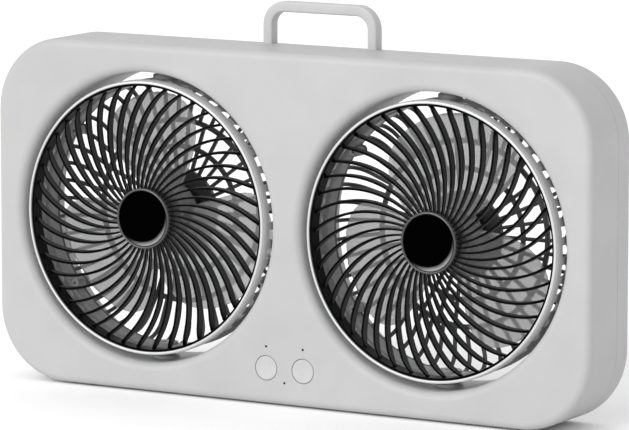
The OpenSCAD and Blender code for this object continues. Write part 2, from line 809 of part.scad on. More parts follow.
module motor(side) {
    color([0.12, 0.12, 0.13]) head_frame(side) difference() {
        union() {
            rotate_extrude() difference() {
                translate([0, -plate_front]) square([motor_r, plate_front - motor_front]);
                translate([motor_r - 1.5, -motor_front - 1.5]) difference() {
                    square(2.5);
                    circle(1.5);
                }
            }
            post(motor_lip_r, motor_front - motor_lip_d, motor_front + 1);
        }
        post(shaft_r + running_gap, motor_front - motor_lip_d - 1, shaft_back + 0.5);
        for (i = [0 : motor_screw_count - 1]) rotate([0, 0, i * 360 / motor_screw_count])
            translate([motor_screw_pcd_r, 0, 0]) post(screw_r, plate_front - 4, plate_front + 1);
    }
}

module motor_screws(side) {
    color([0.7, 0.7, 0.72]) head_frame(side) for (i = [0 : motor_screw_count - 1])
        rotate([0, 0, i * 360 / motor_screw_count]) translate([motor_screw_pcd_r, 0, 0]) {
            post(screw_r, plate_front - 3.5, head_d);
            difference() {
                post(screw_head_r, head_d, head_d + screw_head_t);
                driver_cross(head_d + screw_head_t);
            }
        }
}

module motor_shaft(side) {
    color([0.8, 0.8, 0.82]) head_frame(side) post(shaft_r, shaft_front, shaft_back);
}

// A blade is cut by its outline from a thin cylindrical shell, whose axis lies across the blade in front of it.
// The axis is skewed, so the blade is steep at the hub and flatter at the tip.
function blade_radius(t) = fan_hub_r - blade_root_sunk + (fan_r - fan_hub_r + blade_root_sunk) * t;
// Angle that a blade covers: wide at the root and rounded at the tip
function blade_span(t) = (96 - 26 * t) * sqrt(1 - pow(t, 7)) + 6;
// Turn of the blade's middle, which leans the rounded edge back
function blade_lean(t) = -8 + 13 * t;
function outline_point(t, s) = blade_radius(t) * [cos(blade_lean(t) + s * blade_span(t)),
    sin(blade_lean(t) + s * blade_span(t))];

module blade_outline() {
    rows = [for (j = [0 : blade_rows]) 1 - pow(1 - j / blade_rows, 1.6)];
    last = blade_rows;
    polygon(concat([for (j = [0 : last]) outline_point(rows[j], -0.5)],
        [for (j = [last : -1 : 0]) outline_point(rows[j], 0.5)]));
}

module blade() {
    root = [fan_hub_r, shell_root_offset];
    tip = [fan_r, shell_tip_offset];
    skew = atan2(tip[1] - root[1], tip[0] - root[0]);
    length = 4 * fan_r;
    intersection() {
        translate([0, 0, -hub_back - blade_clear]) linear_extrude(hub_back) blade_outline();
        translate([root[0], root[1], blade_shell_r - hub_front - blade_root_sunk - blade_rise])
            rotate([0, 0, skew]) rotate([0, 90, 0]) translate([0, 0, -length / 2]) difference() {
                cylinder(r = blade_shell_r + blade_t, h = length);
                translate([0, 0, -1]) cylinder(r = blade_shell_r, h = length + 2);
            }
    }
}

module fan(side) {
    color([0.55, 0.56, 0.58]) head_frame(side) difference() {
        union() {
            for (i = [0 : 2]) rotate([0, 0, blade_phase[side] + i * 120]) blade();
            hoop(fan_hub_r, fan_hub_r - hub_wall, hub_front, hub_back);
            post(fan_hub_r, hub_front, hub_front + hub_wall);
            post(hub_nose_r, hub_front, motor_front - motor_lip_d - 0.4);
        }
        post(shaft_r, hub_front - 1, motor_front);
        post(fan_hub_r - hub_wall, motor_front - motor_lip_d - 0.4, hub_back + 5);
    }
}

front_shell();
rear_shell();
handle();
handle_screws();
case_screws();
rubber_feet();
left_button();
right_button();
left_switch();
right_switch();
indicator_lights();
control_board();
board_screws();
battery_cells();
battery_tray();
charging_port();
port_board();
pivot_pins(0);  // left_pivot_pins
pivot_pins(1);  // right_pivot_pins
trim_ring(0);  // left_trim_ring
trim_ring(1);  // right_trim_ring
front_grille(0);  // left_front_grille
front_grille(1);  // right_front_grille
hub_cap(0);  // left_hub_cap
hub_cap(1);  // right_hub_cap
hub_disc(0);  // left_hub_disc
hub_disc(1);  // right_hub_disc
drum(0);  // left_drum
drum(1);  // right_drum
pivot_bushes(0);  // left_pivot_bushes
pivot_bushes(1);  // right_pivot_bushes
rear_guard(0);  // left_rear_guard
rear_guard(1);  // right_rear_guard
guard_screws(0);  // left_guard_screws
guard_screws(1);  // right_guard_screws
motor(0);  // left_motor
motor(1);  // right_motor
motor_screws(0);  // left_motor_screws
motor_screws(1);  // right_motor_screws
motor_shaft(0);  // left_motor_shaft
motor_shaft(1);  // right_motor_shaft
fan(0);  // left_fan
fan(1);  // right_fan
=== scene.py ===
"""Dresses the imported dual-head fan for its picture.

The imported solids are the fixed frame. Each sub-assembly is a class that holds its sizes in millimetres,
builds its meshes with bmesh operators, gives them their finishes and sets them on the body that they ride on.
Sizes that belong together share a tuple, and the method that unpacks it names each of them.
"""

import logging
import math
from collections.abc import Callable, Sequence
from dataclasses import dataclass, field
from enum import Enum

import bmesh
import bpy
from mathutils import Matrix, Vector

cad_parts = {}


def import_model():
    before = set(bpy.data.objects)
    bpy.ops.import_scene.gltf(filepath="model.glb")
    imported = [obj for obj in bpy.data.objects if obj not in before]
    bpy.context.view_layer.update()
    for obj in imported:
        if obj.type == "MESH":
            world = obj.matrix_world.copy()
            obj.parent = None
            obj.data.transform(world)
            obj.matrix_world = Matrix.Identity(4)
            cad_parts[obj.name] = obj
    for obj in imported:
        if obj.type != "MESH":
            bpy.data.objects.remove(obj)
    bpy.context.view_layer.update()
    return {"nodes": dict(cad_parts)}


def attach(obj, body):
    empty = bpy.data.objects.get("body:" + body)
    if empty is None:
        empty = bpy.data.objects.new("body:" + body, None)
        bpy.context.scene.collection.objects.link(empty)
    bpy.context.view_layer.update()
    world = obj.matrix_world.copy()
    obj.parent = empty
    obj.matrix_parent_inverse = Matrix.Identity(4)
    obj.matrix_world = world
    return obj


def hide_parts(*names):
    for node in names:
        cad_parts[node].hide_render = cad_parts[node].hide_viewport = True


MM = 0.001
NEAR = 0.01
SHARP = math.radians(32.0)
# The corner attribute that holds the painted light on the grille ribs' flanks.
PAINTED_FLANK_MASK = "painted_flank_mask"
LOG = logging.getLogger("fan")

Number = int | float
Colour = tuple[float, float, float]
Point = tuple[float, float, float]
Profile = list[tuple[float, float]]
Outline = tuple[tuple[float, float], ...]


class Side(Enum):
    """The two fan heads, which are mirror images of each other."""

    LEFT = -1
    RIGHT = 1

    @property
    def word(self) -> str:
        """The side's name as the bodies and nodes have it."""
        return self.name.lower()


class Signal:
    """A shader socket that takes part in Python expressions."""

    def __init__(self, graph: "Graph", socket: bpy.types.NodeSocket) -> None:
        """Wraps a socket.

        Args:
            graph: The graph that the socket's node is in.
            socket: The output socket to wrap.
        """
        self.graph = graph
        self.socket = socket

    def _math(self, operation: str, *operands: "Signal | Number", clamp: bool = False) -> "Signal":
        """Adds a Math node that takes the operands in order."""
        settings = {"operation": operation, "use_clamp": clamp}
        return self.graph.add("ShaderNodeMath", settings, dict(enumerate(operands)))

    def __add__(self, other: "Signal | Number") -> "Signal":
        """This signal plus another."""
        return self._math("ADD", self, other)

    __radd__ = __add__

    def __sub__(self, other: "Signal | Number") -> "Signal":
        """This signal minus another."""
        return self._math("SUBTRACT", self, other)

    def __rsub__(self, other: Number) -> "Signal":
        """A number minus this signal."""
        return self._math("SUBTRACT", other, self)

    def __mul__(self, other: "Signal | Number") -> "Signal":
        """This signal times another."""
        return self._math("MULTIPLY", self, other)

    __rmul__ = __mul__

    def __truediv__(self, other: "Signal | Number") -> "Signal":
        """This signal divided by another."""
        return self._math("DIVIDE", self, other)

    def __pow__(self, other: "Signal | Number") -> "Signal":
        """This signal to a power."""
        return self._math("POWER", self, other)

    def ramp(self, low: float, high: float) -> "Signal":
        """This signal as a share of the way from low to high, kept between 0 and 1.

        Args:
            low: The value that becomes 0.
            high: The value that becomes 1.

        Returns:
            The clamped share.
        """
        return self._math("DIVIDE", self - low, high - low, clamp=True)

    def arctan2(self, other: "Signal") -> "Signal":
        """The angle whose tangent is this signal over another."""
        return self._math("ARCTAN2", self, other)


class Graph:
    """The node tree of one material, and what its patterns are made from."""

    def __init__(self, name: str) -> None:
        """Starts a material with an empty node tree.

        Args:
            name: The material's name.
        """
        self.material = bpy.data.materials.new(name)
        self.material.use_nodes = True
        self.tree = self.material.node_tree
        self.tree.nodes.clear()

    def add(
        self,
        kind: str,
        settings: dict[str, object] | None = None,
        inputs: dict[str | int, object] | None = None,
        output: str | int = 0,
    ) -> Signal:
        """Adds a node of any type.

        Args:
            kind: The node's type.
            settings: The node's own properties, set first.
            inputs: The values or links of its sockets, by name or number.
            output: The output that the returned signal wraps.

        Returns:
            The chosen output.
        """
        node = self.tree.nodes.new(kind)
        for key, value in (settings or {}).items():
            setattr(node, key, value)
        for key, value in (inputs or {}).items():
            if isinstance(value, Signal):
                self.tree.links.new(value.socket, node.inputs[key])
            else:
                node.inputs[key].default_value = value
        return Signal(self, node.outputs[output] if len(node.outputs) else None)

    def place(self, centre: Point = (0.0, 0.0, 0.0)) -> Signal:
        """Object coordinates about a centre, in millimetres.

        Args:
            centre: The centre of the pattern, in millimetres.

        Returns:
            The coordinates as a vector.
        """
        coordinates = self.add("ShaderNodeTexCoord", output="Object")
        inputs = {"Vector": coordinates, "Location": [-c for c in centre], "Scale": [1.0 / MM] * 3}
        return self.add("ShaderNodeMapping", inputs=inputs)

    def split(self, vector: Signal) -> tuple[Signal, Signal, Signal]:
        """The three parts of a vector."""
        first = self.add("ShaderNodeSeparateXYZ", inputs={0: vector})
        return tuple(Signal(self, output) for output in first.socket.node.outputs)

    def around(self, centre: Point) -> tuple[Signal, Signal, Signal, Signal]:
        """Coordinates across, back and up from a centre, and the distance from the axis through it."""
        across, depth, up = self.split(self.place(centre))
        return across, depth, up, (across * across + up * up) ** 0.5

    def noise(self, vector: Signal, cell: float, detail: float, roughness: float) -> Signal:
        """Soft noise with cells of one size.

        Args:
            vector: The coordinates, in millimetres.
            cell: The size of a cell, in millimetres.
            detail: The number of finer layers.
            roughness: The share of the finer layers.

        Returns:
            The noise, about 0.5.
        """
        inputs = {"Vector": vector, "Scale": 1.0 / cell, "Detail": detail, "Roughness": roughness}
        return self.add("ShaderNodeTexNoise", inputs=inputs)

    def blend(self, share: Signal, low: Colour | Signal, high: Colour | Signal) -> Signal:
        """A colour between two, by a share.

        Args:
            share: The share of the second colour.
            low: The first colour.
            high: The second colour.

        Returns:
            The mixed colour.
        """
        inputs = {"Factor": share}
        for place, end in ((6, low), (7, high)):
            inputs[place] = end if isinstance(end, Signal) else (*end, 1.0)
        return self.add("ShaderNodeMix", {"data_type": "RGBA"}, inputs, output=2)

    def bump(self, height: Signal, depth: float) -> Signal:
        """A bump node.

        Args:
            height: The height map, 0 to 1.
            depth: The height of a full step, in millimetres.

        Returns:
            The normal.
        """
        inputs = {"Height": height, "Distance": depth * MM, "Strength": 1.0}
        return self.add("ShaderNodeBump", inputs=inputs)

    def close(self, inputs: dict[str | int, object]) -> bpy.types.Material:
        """Ends the material in a Principled shader.

        Args:
            inputs: The values or links of the shader's sockets.

        Returns:
            The finished material.
        """
        shader = self.add("ShaderNodeBsdfPrincipled", inputs=inputs)
        self.add("ShaderNodeOutputMaterial", inputs={"Surface": shader})
        return self.material


def scaled(colour: Colour, factor: float) -> Colour:
    """A colour made lighter or darker."""
    return tuple(min(1.0, c * factor) for c in colour)


@dataclass(frozen=True)
class Finish:
    """A moulded or painted finish with a fine grain, soft cloudiness and faint handling marks."""

    name: str
    colour: Colour
    roughness: float = 0.4
    metallic: float = 0.0
    coat: float = 0.0
    specular: float = 0.5
    alpha: float = 1.0
    grain_cell: float = 0.35
    grain_depth: float = 0.006
    cloud_cell: float = 38.0
    cloud: float = 0.035
    rub_cell: float = 9.0
    rub: float = 0.05
    coat_roughness: float = 0.08

    def clouds(self, graph: Graph, finer: float = 0.55) -> Signal:
        """Soft clouds as a share, with the weight of their finer layers."""
        return graph.noise(graph.place(), self.cloud_cell, 3.0, finer).ramp(0.3, 0.7)

    def rubs(self, graph: Graph) -> Signal:
        """Faint handling marks as a share."""
        return graph.noise(graph.place(), self.rub_cell, 5.0, 0.65).ramp(0.35, 0.75)

    def grain(self, graph: Graph) -> Signal:
        """The fine grain of the moulding as a normal."""
        return graph.bump(graph.noise(graph.place(), self.grain_cell, 1.0, 0.4), self.grain_depth)

    def pattern(self, graph: Graph) -> dict[str | int, object]:
        """The sockets that change over the surface.

        Args:
            graph: The material's graph.

        Returns:
            The shader's inputs.
        """
        low, high = scaled(self.colour, 1.0 - self.cloud), scaled(self.colour, 1.0 + self.cloud)
        return {
            "Base Color": graph.blend(self.clouds(graph), low, high),
            "Roughness": self.roughness + (self.rubs(graph) - 0.5) * self.rub,
            "Normal": self.grain(graph),
        }

    def material(self) -> bpy.types.Material:
        """The finish as a material, made once and then shared.

        Returns:
            The material.
        """
        found = bpy.data.materials.get(self.name)
        if found:
            return found
        graph = Graph(self.name)
        inputs = self.pattern(graph)
        inputs.setdefault("Metallic", self.metallic)
        inputs.setdefault("Alpha", self.alpha)
        inputs["Specular IOR Level"] = self.specular
        inputs.setdefault("Coat Weight", self.coat)
        inputs["Coat Roughness"] = self.coat_roughness
        return graph.close(inputs)


@dataclass(frozen=True)
class Centred(Finish):
    """A finish whose pattern lies round its own head's centre."""

    centre: Point = (0.0, 0.0, 0.0)


@dataclass(frozen=True)
class TurnedMetal(Centred):
    """A plated ring with fine lines round it, whose crown has painted shade and whose side has painted light.
    """

    # Painted shade: the crown's darker colour; the side's lighter colour is painted light.
    shaded_crown: Colour = (0.55, 0.55, 0.555)
    shaded_crown_depth: float = 1.6
    line_stretch: tuple[float, float] = (4.0, 2.0)
    line_cell: float = 1.0
    cloud_gloss: float = 0.04

    def pattern(self, graph: Graph) -> dict[str | int, object]:
        """The sockets that change over the surface.

        Args:
            graph: The material's graph.

        Returns:
            The shader's inputs.
        """
        across, depth, up, radius = graph.around(self.centre)
        fine, long = self.line_stretch
        inputs = {"X": radius * fine, "Y": depth * fine, "Z": up.arctan2(across) * long}
        lines = graph.add("ShaderNodeCombineXYZ", inputs=inputs)
        scratch = graph.noise(lines, self.line_cell, 2.0, 0.6)
        cloud = self.clouds(graph, 0.5)
        # Painted shade on the crown and painted light on the side, by depth.
        side = depth.ramp(0.4 * self.shaded_crown_depth, self.shaded_crown_depth) * (1.0 - cloud * self.cloud)
        return {
            "Base Color": graph.blend(side, self.shaded_crown, self.colour),
            "Roughness": self.roughness + (scratch - 0.5) * self.rub + (cloud - 0.5) * self.cloud_gloss,
            "Normal": graph.bump(scratch, self.grain_depth),
        }


@dataclass(frozen=True)
class PlatedOutside(Centred):
    """A moulded drum whose front edge is plated on the outside, like the ring in front of it."""

    plating: Colour = (0.85, 0.85, 0.855)
    plated_radius: tuple[float, float] = (88.7, 88.9)
    plated_depth: tuple[float, float] = (12.0, 13.5)

    def pattern(self, graph: Graph) -> dict[str | int, object]:
        """The sockets that change over the surface.

        Args:
            graph: The material's graph.

        Returns:
            The shader's inputs.
        """
        _, depth, _, radius = graph.around(self.centre)
        plated = radius.ramp(*self.plated_radius) * (1.0 - depth.ramp(*self.plated_depth))
        cloud = self.clouds(graph)
        bare = graph.blend(cloud, scaled(self.colour, 1.0 - self.cloud), self.colour)
        return {
            "Base Color": graph.blend(plated, bare, self.plating),
            "Roughness": self.roughness + (cloud - 0.5) * self.rub,
            "Normal": self.grain(graph),
        }


@dataclass(frozen=True)
class PaintedHighlightDisc(Centred):
    """A black disc whose upturned edge carries a painted highlight: a pale, lacquered crescent at the lower
    right.
    """

    crescent: tuple[float, float] = (17.4, 19.8)
    crescent_way: tuple[float, float] = (0.5, -0.87)
    crescent_width: tuple[float, float] = (0.25, 0.95)
    reach: float = 2.6
    # Painted highlight: the pale colour painted into the black at the crescent.
    bare: Colour = (0.24, 0.24, 0.24)
    lacquer: float = 0.5

    def pattern(self, graph: Graph) -> dict[str | int, object]:
        """The sockets that change over the surface.

        Args:
            graph: The material's graph.

        Returns:
            The shader's inputs.
        """
        across, _, up, radius = graph.around(self.centre)
        right, above = self.crescent_way
        # Painted highlight: a crescent at the lower right that lightens the base colour and gets a lacquer
        # coat.
        toward = ((across * right + up * above) / radius).ramp(*self.crescent_width)
        share = (radius + toward * self.reach).ramp(*self.crescent) * toward
        inputs = super().pattern(graph)
        inputs["Base Color"] = graph.blend(share, inputs["Base Color"], self.bare)
        inputs["Coat Weight"] = share * self.lacquer
        return inputs


@dataclass(frozen=True)
class Flanked(Centred):
    """A black moulding with glossier crowns and rim, whose ribs' sideways-facing flanks are matt and get
    painted light, a paler colour.
    """

    # Painted light: the paler colour of the ribs' sideways-facing flanks.
    painted_flank_light: Colour = (0.06, 0.06, 0.062)
    painted_flank_light_roughness: float = 0.5
    rim_radius: tuple[float, float] = (85.0, 86.0)
    # Share of the flanks' painted light and matt finish held off the rim.
    rim_polish: float = 0.9

    def pattern(self, graph: Graph) -> dict[str | int, object]:
        """The sockets that change over the surface.

        Args:
            graph: The material's graph.

        Returns:
            The shader's inputs.
        """
        rim = graph.around(self.centre)[3].ramp(*self.rim_radius)
        # Painted light on the ribs' flanks, held off the rim.
        painted_flank_mask = graph.add("ShaderNodeAttribute", {"attribute_name": PAINTED_FLANK_MASK}, output="Fac")
        side = painted_flank_mask * (1.0 - rim * self.rim_polish)
        painted_flank_light = graph.blend(self.clouds(graph), scaled(self.painted_flank_light, 1.0 - self.cloud), self.painted_flank_light)
        matt = side * (self.painted_flank_light_roughness - self.roughness)
        return {
            "Base Color": graph.blend(side, self.colour, painted_flank_light),
            "Roughness": self.roughness + matt + (self.rubs(graph) - 0.5) * self.rub,
            "Normal": self.grain(graph),
        }


@dataclass(frozen=True)
class Circuit(Finish):
    """A circuit board's lacquer over copper tracks."""

    track_cell: float = 2.2
    track_edge: tuple[float, float] = (0.04, 0.1)
    track_gloss: float = 0.1
    track_height: float = 0.03

    def pattern(self, graph: Graph) -> dict[str | int, object]:
        """The sockets that change over the surface.

        Args:
            graph: The material's graph.

        Returns:
            The shader's inputs.
        """
        inputs = {"Vector": graph.place(), "Scale": 1.0 / self.track_cell, "Randomness": 0.6}
        edge = graph.add("ShaderNodeTexVoronoi", {"feature": "DISTANCE_TO_EDGE"}, inputs)
        track = 1.0 - edge.ramp(*self.track_edge)
        bright = tuple(c + 0.02 for c in scaled(self.colour, 2.2))
        return {
            "Base Color": graph.blend(track, self.colour, bright),
            "Roughness": self.roughness + track * self.track_gloss,
            "Normal": graph.bump(track, self.track_height),
        }


@dataclass(frozen=True)
class Finishes:
    """The finishes whose patterns are the same on both heads, on the housing and inside."""

    shell: Finish = Finish("satin_grey_shell", (0.4, 0.4, 0.4), 0.45, specular=0.3, grain_depth=0.004)
    handle: Finish = Finish("satin_grey_handle", (0.44, 0.44, 0.44), 0.45, specular=0.25, cloud_cell=16.0)
    button: Finish = Finish("satin_grey_button", (0.44, 0.44, 0.44), 0.42, specular=0.3, cloud_cell=7.0)
    cap: Finish = Finish(
        "graphite_cap", (0.08, 0.08, 0.083), 0.26, metallic=0.6, specular=0.4, cloud_cell=9.0
    )
    guard: Finish = Finish(
        "graphite_guard", (0.07, 0.07, 0.072), 0.45, specular=0.3, cloud_cell=14.0, cloud=0.12
    )
    blade: Finish = Finish(
        "smoky_blade", (0.4, 0.4, 0.405), 0.25, alpha=0.54, grain_depth=0.002, cloud=0.08
    )
    motor: Finish = Finish(
        "zinc_motor_can", (0.05, 0.05, 0.052), 0.38, metallic=0.4, cloud_cell=6.0, cloud=0.2
    )
    steel: Finish = Finish("plated_screw", (0.62, 0.62, 0.63), 0.3, metallic=1.0, cloud_cell=2.0, cloud=0.15)
    pin: Finish = Finish("ground_steel_pin", (0.6, 0.6, 0.62), 0.24, metallic=1.0, cloud_cell=3.0, cloud=0.1)
    bush: Finish = Finish("pale_acetal_bush", (0.45, 0.45, 0.44), 0.4, cloud_cell=4.0)
    black: Finish = Finish("black_moulding", (0.03, 0.03, 0.033), 0.5, cloud_cell=8.0, cloud=0.1)
    foot: Finish = Finish(
        "foot_rubber", (0.035, 0.035, 0.036), 0.75, grain_cell=0.6, grain_depth=0.03, cloud=0.15
    )
    light: Finish = Finish("dark_light_pipe", (0.003, 0.003, 0.003), 0.3, specular=0.05, cloud_cell=1.0)
    cell: Finish = Finish("cell_sleeve", (0.03, 0.16, 0.42), 0.25, coat=0.4, cloud_cell=12.0)
    port: Finish = Finish("drawn_steel_inlet", (0.6, 0.6, 0.61), 0.28, metallic=1.0, cloud_cell=3.0)
    board: Finish = Circuit("lacquered_board", (0.015, 0.14, 0.06), 0.3)


@dataclass(frozen=True)
class HeadFinishes:
    """The finishes whose patterns run round one head's centre."""

    word: str
    centre: Point

    def ring(self) -> Finish:
        """The bright ring's plating, with painted shade on its crown and painted light on its side."""
        return TurnedMetal(
            f"{self.word}_satin_plating", (0.92, 0.92, 0.925), 0.36, metallic=0.45, rub=0.12,
            centre=self.centre, grain_depth=0.0015, cloud=0.06,
        )

    def grille(self) -> Finish:
        """The front grille's black, with painted light on its ribs' flanks that stops at the rim."""
        return Flanked(
            f"{self.word}_black_grille", (0.0008, 0.0008, 0.001), 0.34, specular=0.04, rub=0.14, cloud=0.15,
            centre=self.centre,
        )

    def disc(self) -> Finish:
        """The hub disc's black with a painted highlight, a pale crescent at the lower right."""
        return PaintedHighlightDisc(
            f"{self.word}_black_disc", (0.0002, 0.0002, 0.0002), 0.3, specular=0.004, centre=self.centre,
            grain_depth=0.0005,
        )

    def drum(self) -> Finish:
        """The drum's grey, plated outside behind the ring."""
        return PlatedOutside(
            f"{self.word}_grey_drum", (0.34, 0.34, 0.345), 0.42, specular=0.3, centre=self.centre,
            cloud_cell=14.0, cloud=0.12,
        )


def placed(name: str, data: bpy.types.ID) -> bpy.types.Object:
    """Puts a new object in the scene.

    Args:
        name: The object's name.
        data: Its mesh, light or camera.

    Returns:
        The object.
    """
    made = bpy.data.objects.new(name, data)
    bpy.context.scene.collection.objects.link(made)
    return made


class Form:
    """A mesh in the making, in millimetres."""

    def __init__(self) -> None:
        """Starts with nothing drawn."""
        self.bm = bmesh.new()

    def chain(self, points: Sequence[Point], closed: bool = False) -> list[bmesh.types.BMEdge]:
        """Draws edges from point to point.

        Args:
            points: The points in order.
            closed: Whether the last point joins the first.

        Returns:
            The edges.
        """
        verts = [self.bm.verts.new(p) for p in points]
        ends = verts[1:] + verts[:1] if closed else verts[1:]
        return [self.bm.edges.new(pair) for pair in zip(verts, ends)]

    def spin(
        self,
        geometry: Sequence[object],
        angle: float = 360.0,
        steps: int = 96,
        centre: Point = (0.0, 0.0, 0.0),
        axis: Point = (0.0, 0.0, 1.0),
        copies: bool = False,
    ) -> list[bmesh.types.BMEdge]:
        """Turns geometry about an axis.

        Args:
            geometry: The edges or faces to turn.
            angle: The angle of the whole turn, in degrees.
            steps: The number of steps.
            centre: A point on the axis.
            axis: The axis's direction.
            copies: Whether each step leaves a separate copy and no surface between.

        Returns:
            The edges of the last step.
        """
        verts = {v for g in geometry for v in getattr(g, "verts", ())}
        edges = {e for g in geometry for e in getattr(g, "edges", ())}
        whole = list(verts) + list(edges | {g for g in geometry if isinstance(g, bmesh.types.BMEdge)})
        whole += [g for g in geometry if isinstance(g, bmesh.types.BMFace)]
        made = bmesh.ops.spin(
            self.bm, geom=whole, cent=centre, axis=axis, angle=math.radians(angle), steps=steps,
            use_merge=angle == 360.0 and not copies, use_duplicate=copies,
        )
        return [g for g in made["geom_last"] if isinstance(g, bmesh.types.BMEdge)]

    def repeat(self, count: int) -> None:
        """Repeats all that is drawn, evenly round the Z axis."""
        self.spin(self.bm.faces[:], 360.0 * (count - 1) / count, count - 1, copies=True)

    def drawn(self, edges: list[bmesh.types.BMEdge], run: Point) -> list[bmesh.types.BMEdge]:
        """Draws a loop of edges along a straight run.

        Args:
            edges: The loop.
            run: The run as a vector.

        Returns:
            The loop at the run's end.
        """
        made = bmesh.ops.extrude_edge_only(self.bm, edges=edges)["geom"]
        verts = [g for g in made if isinstance(g, bmesh.types.BMVert)]
        bmesh.ops.translate(self.bm, vec=run, verts=verts)
        return [g for g in made if isinstance(g, bmesh.types.BMEdge) and set(g.verts) <= set(verts)]

    def fill_ends(self) -> None:
        """Fills every open loop with one flat face."""
        bmesh.ops.holes_fill(self.bm, edges=[e for e in self.bm.edges if e.is_boundary], sides=0)

    def since(self, before: set[bmesh.types.BMVert]) -> list[bmesh.types.BMVert]:
        """The vertices that weren't there before."""
        return [v for v in self.bm.verts if v not in before]

    def turned(
        self,
        profile: Profile,
        steps: int = 96,
        centre: tuple[float, float] = (0.0, 0.0),
        closed: bool = False,
        place: Matrix | None = None,
    ) -> None:
        """Turns a profile all the way round an axis along Z.

        Args:
            profile: The (radius, height) pairs.
            steps: The number of steps.
            centre: The axis's place.
            closed: Whether the profile closes on itself.
            place: Where the turned shape is moved to.
        """
        before = set(self.bm.verts)
        points = [(centre[0] + r, centre[1], z) for r, z in profile]
        self.spin(self.chain(points, closed), steps=steps, centre=(*centre, 0.0))
        bmesh.ops.remove_doubles(self.bm, verts=self.since(before), dist=0.004)
        if place is not None:
            bmesh.ops.transform(self.bm, matrix=place, verts=self.since(before))

    def weld(self, distance: float = 0.004) -> None:
        """Merges vertices that lie together."""
        bmesh.ops.remove_doubles(self.bm, verts=self.bm.verts, dist=distance)

    def join(self, other: "Form") -> None:
        """Takes in another form, which is then closed.

        Args:
            other: The form to take in.
        """
        parts = bpy.data.meshes.new("parts")
        other.bm.to_mesh(parts)
        other.bm.free()
        self.bm.from_mesh(parts)
        bpy.data.meshes.remove(parts)

    def block(self, low: Point, high: Point) -> list[bmesh.types.BMVert]:
        """Draws a block between two corners.

        Args:
            low: The lowest corner.
            high: The highest corner.

        Returns:
            Its vertices.
        """
        size = Vector(high) - Vector(low)
        middle = (Vector(high) + Vector(low)) / 2
        place = Matrix.Translation(middle) @ Matrix.Diagonal((*size, 1.0))
        verts = bmesh.ops.create_cube(self.bm, size=1.0, matrix=place)["verts"]
        self.bm.normal_update()
        return verts

    def bevel(self, edges: Sequence[bmesh.types.BMEdge], width: float, segments: int = 4) -> None:
        """Rounds edges.

        Args:
            edges: The edges.
            width: The radius of the rounding.
            segments: The number of segments across it.
        """
        bmesh.ops.bevel(
            self.bm, geom=list(edges), offset=width, offset_type="OFFSET", affect="EDGES", segments=segments,
            profile=0.5, material=-1, clamp_overlap=False,
        )

    def edges(self, test: Callable[[Vector, Vector], bool]) -> list[bmesh.types.BMEdge]:
        """The edges whose two ends pass a test."""
        return [e for e in self.bm.edges if test(e.verts[0].co, e.verts[1].co)]

    def sharp(self) -> list[bmesh.types.BMEdge]:
        """The edges where two faces meet at a steep angle."""
        return [e for e in self.bm.edges if len(e.link_faces) == 2 and e.calc_face_angle() > 1.0]

    def level(self, height: float) -> list[bmesh.types.BMEdge]:
        """The edges that lie at a height."""
        return self.edges(lambda a, b: abs(a.z - height) < NEAR and abs(b.z - height) < NEAR)

    def rim(self, height: float) -> list[bmesh.types.BMEdge]:
        """The open edges that lie at a height."""
        return [e for e in self.level(height) if e.is_boundary]

    def cap(self, height: float) -> None:
        """Fills the flat face between all the open loops at a height."""
        bmesh.ops.triangle_fill(self.bm, edges=self.rim(height), use_beauty=True, normal=(0.0, 0.0, 1.0))

    def piece(
        self,
        name: str,
        finish: Finish,
        body: str,
        place: Matrix,
        replaces: Sequence[str] = (),
        wall: float = 0.0,
    ) -> bpy.types.Object:
        """Closes the form and makes it a piece of the fan.

        Args:
            name: The piece's name.
            finish: Its finish.
            body: The body that it rides on.
            place: Where the form's own millimetre frame lies in the fan's frame, in metres.
            replaces: The nodes that it stands for.
            wall: The wall that an open skin gets on its inner side, in millimetres.

        Returns:
            The piece.
        """
        self.weld()
        bmesh.ops.transform(self.bm, matrix=place, verts=self.bm.verts)
        bmesh.ops.recalc_face_normals(self.bm, faces=self.bm.faces)
        self.bm.edges.index_update()
        rims = [e.index for e in self.bm.edges if e.is_boundary]
        mesh = bpy.data.meshes.new(name)
        self.bm.to_mesh(mesh)
        self.bm.free()
        mesh.shade_smooth()
        mesh.set_sharp_from_angle(angle=SHARP)
        for index in rims:
            mesh.edges[index].use_edge_sharp = True
        mesh.materials.append(finish.material())
        made = placed(name, mesh)
        if wall:
            thick = made.modifiers.new("wall", "SOLIDIFY")
            thick.thickness = wall * MM
            thick.offset = -1.0
            thick.use_even_offset = True
        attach(made, body)
        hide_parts(*replaces)
        LOG.info("%s: %d faces on %s", name, len(mesh.polygons), body)
        return made


def arc(centre: tuple[float, float], radius: float, start: float, end: float, steps: int = 8) -> Profile:
    """Points on an arc of a profile.

    Args:
        centre: The arc's centre.
        radius: Its radius.
        start: The angle of its first point, in degrees.
        end: The angle of its last point, in degrees.
        steps: The number of steps between them.

    Returns:
        The points, both ends included.
    """
    angles = [math.radians(start + (end - start) * i / steps) for i in range(steps + 1)]
    return [(centre[0] + radius * math.cos(a), centre[1] + radius * math.sin(a)) for a in angles]


def part_way(value: float, start: float, run: float) -> float:
    """How far a value is along a run, from 0 to 1."""
    return min(1.0, max(0.0, (value - start) / run))


def quarter_turn(way: float = 1.0) -> Matrix:
    """A quarter turn about X, one way or, with -1, the other."""
    return Matrix.Rotation(math.radians(90.0 * way), 4, "X")


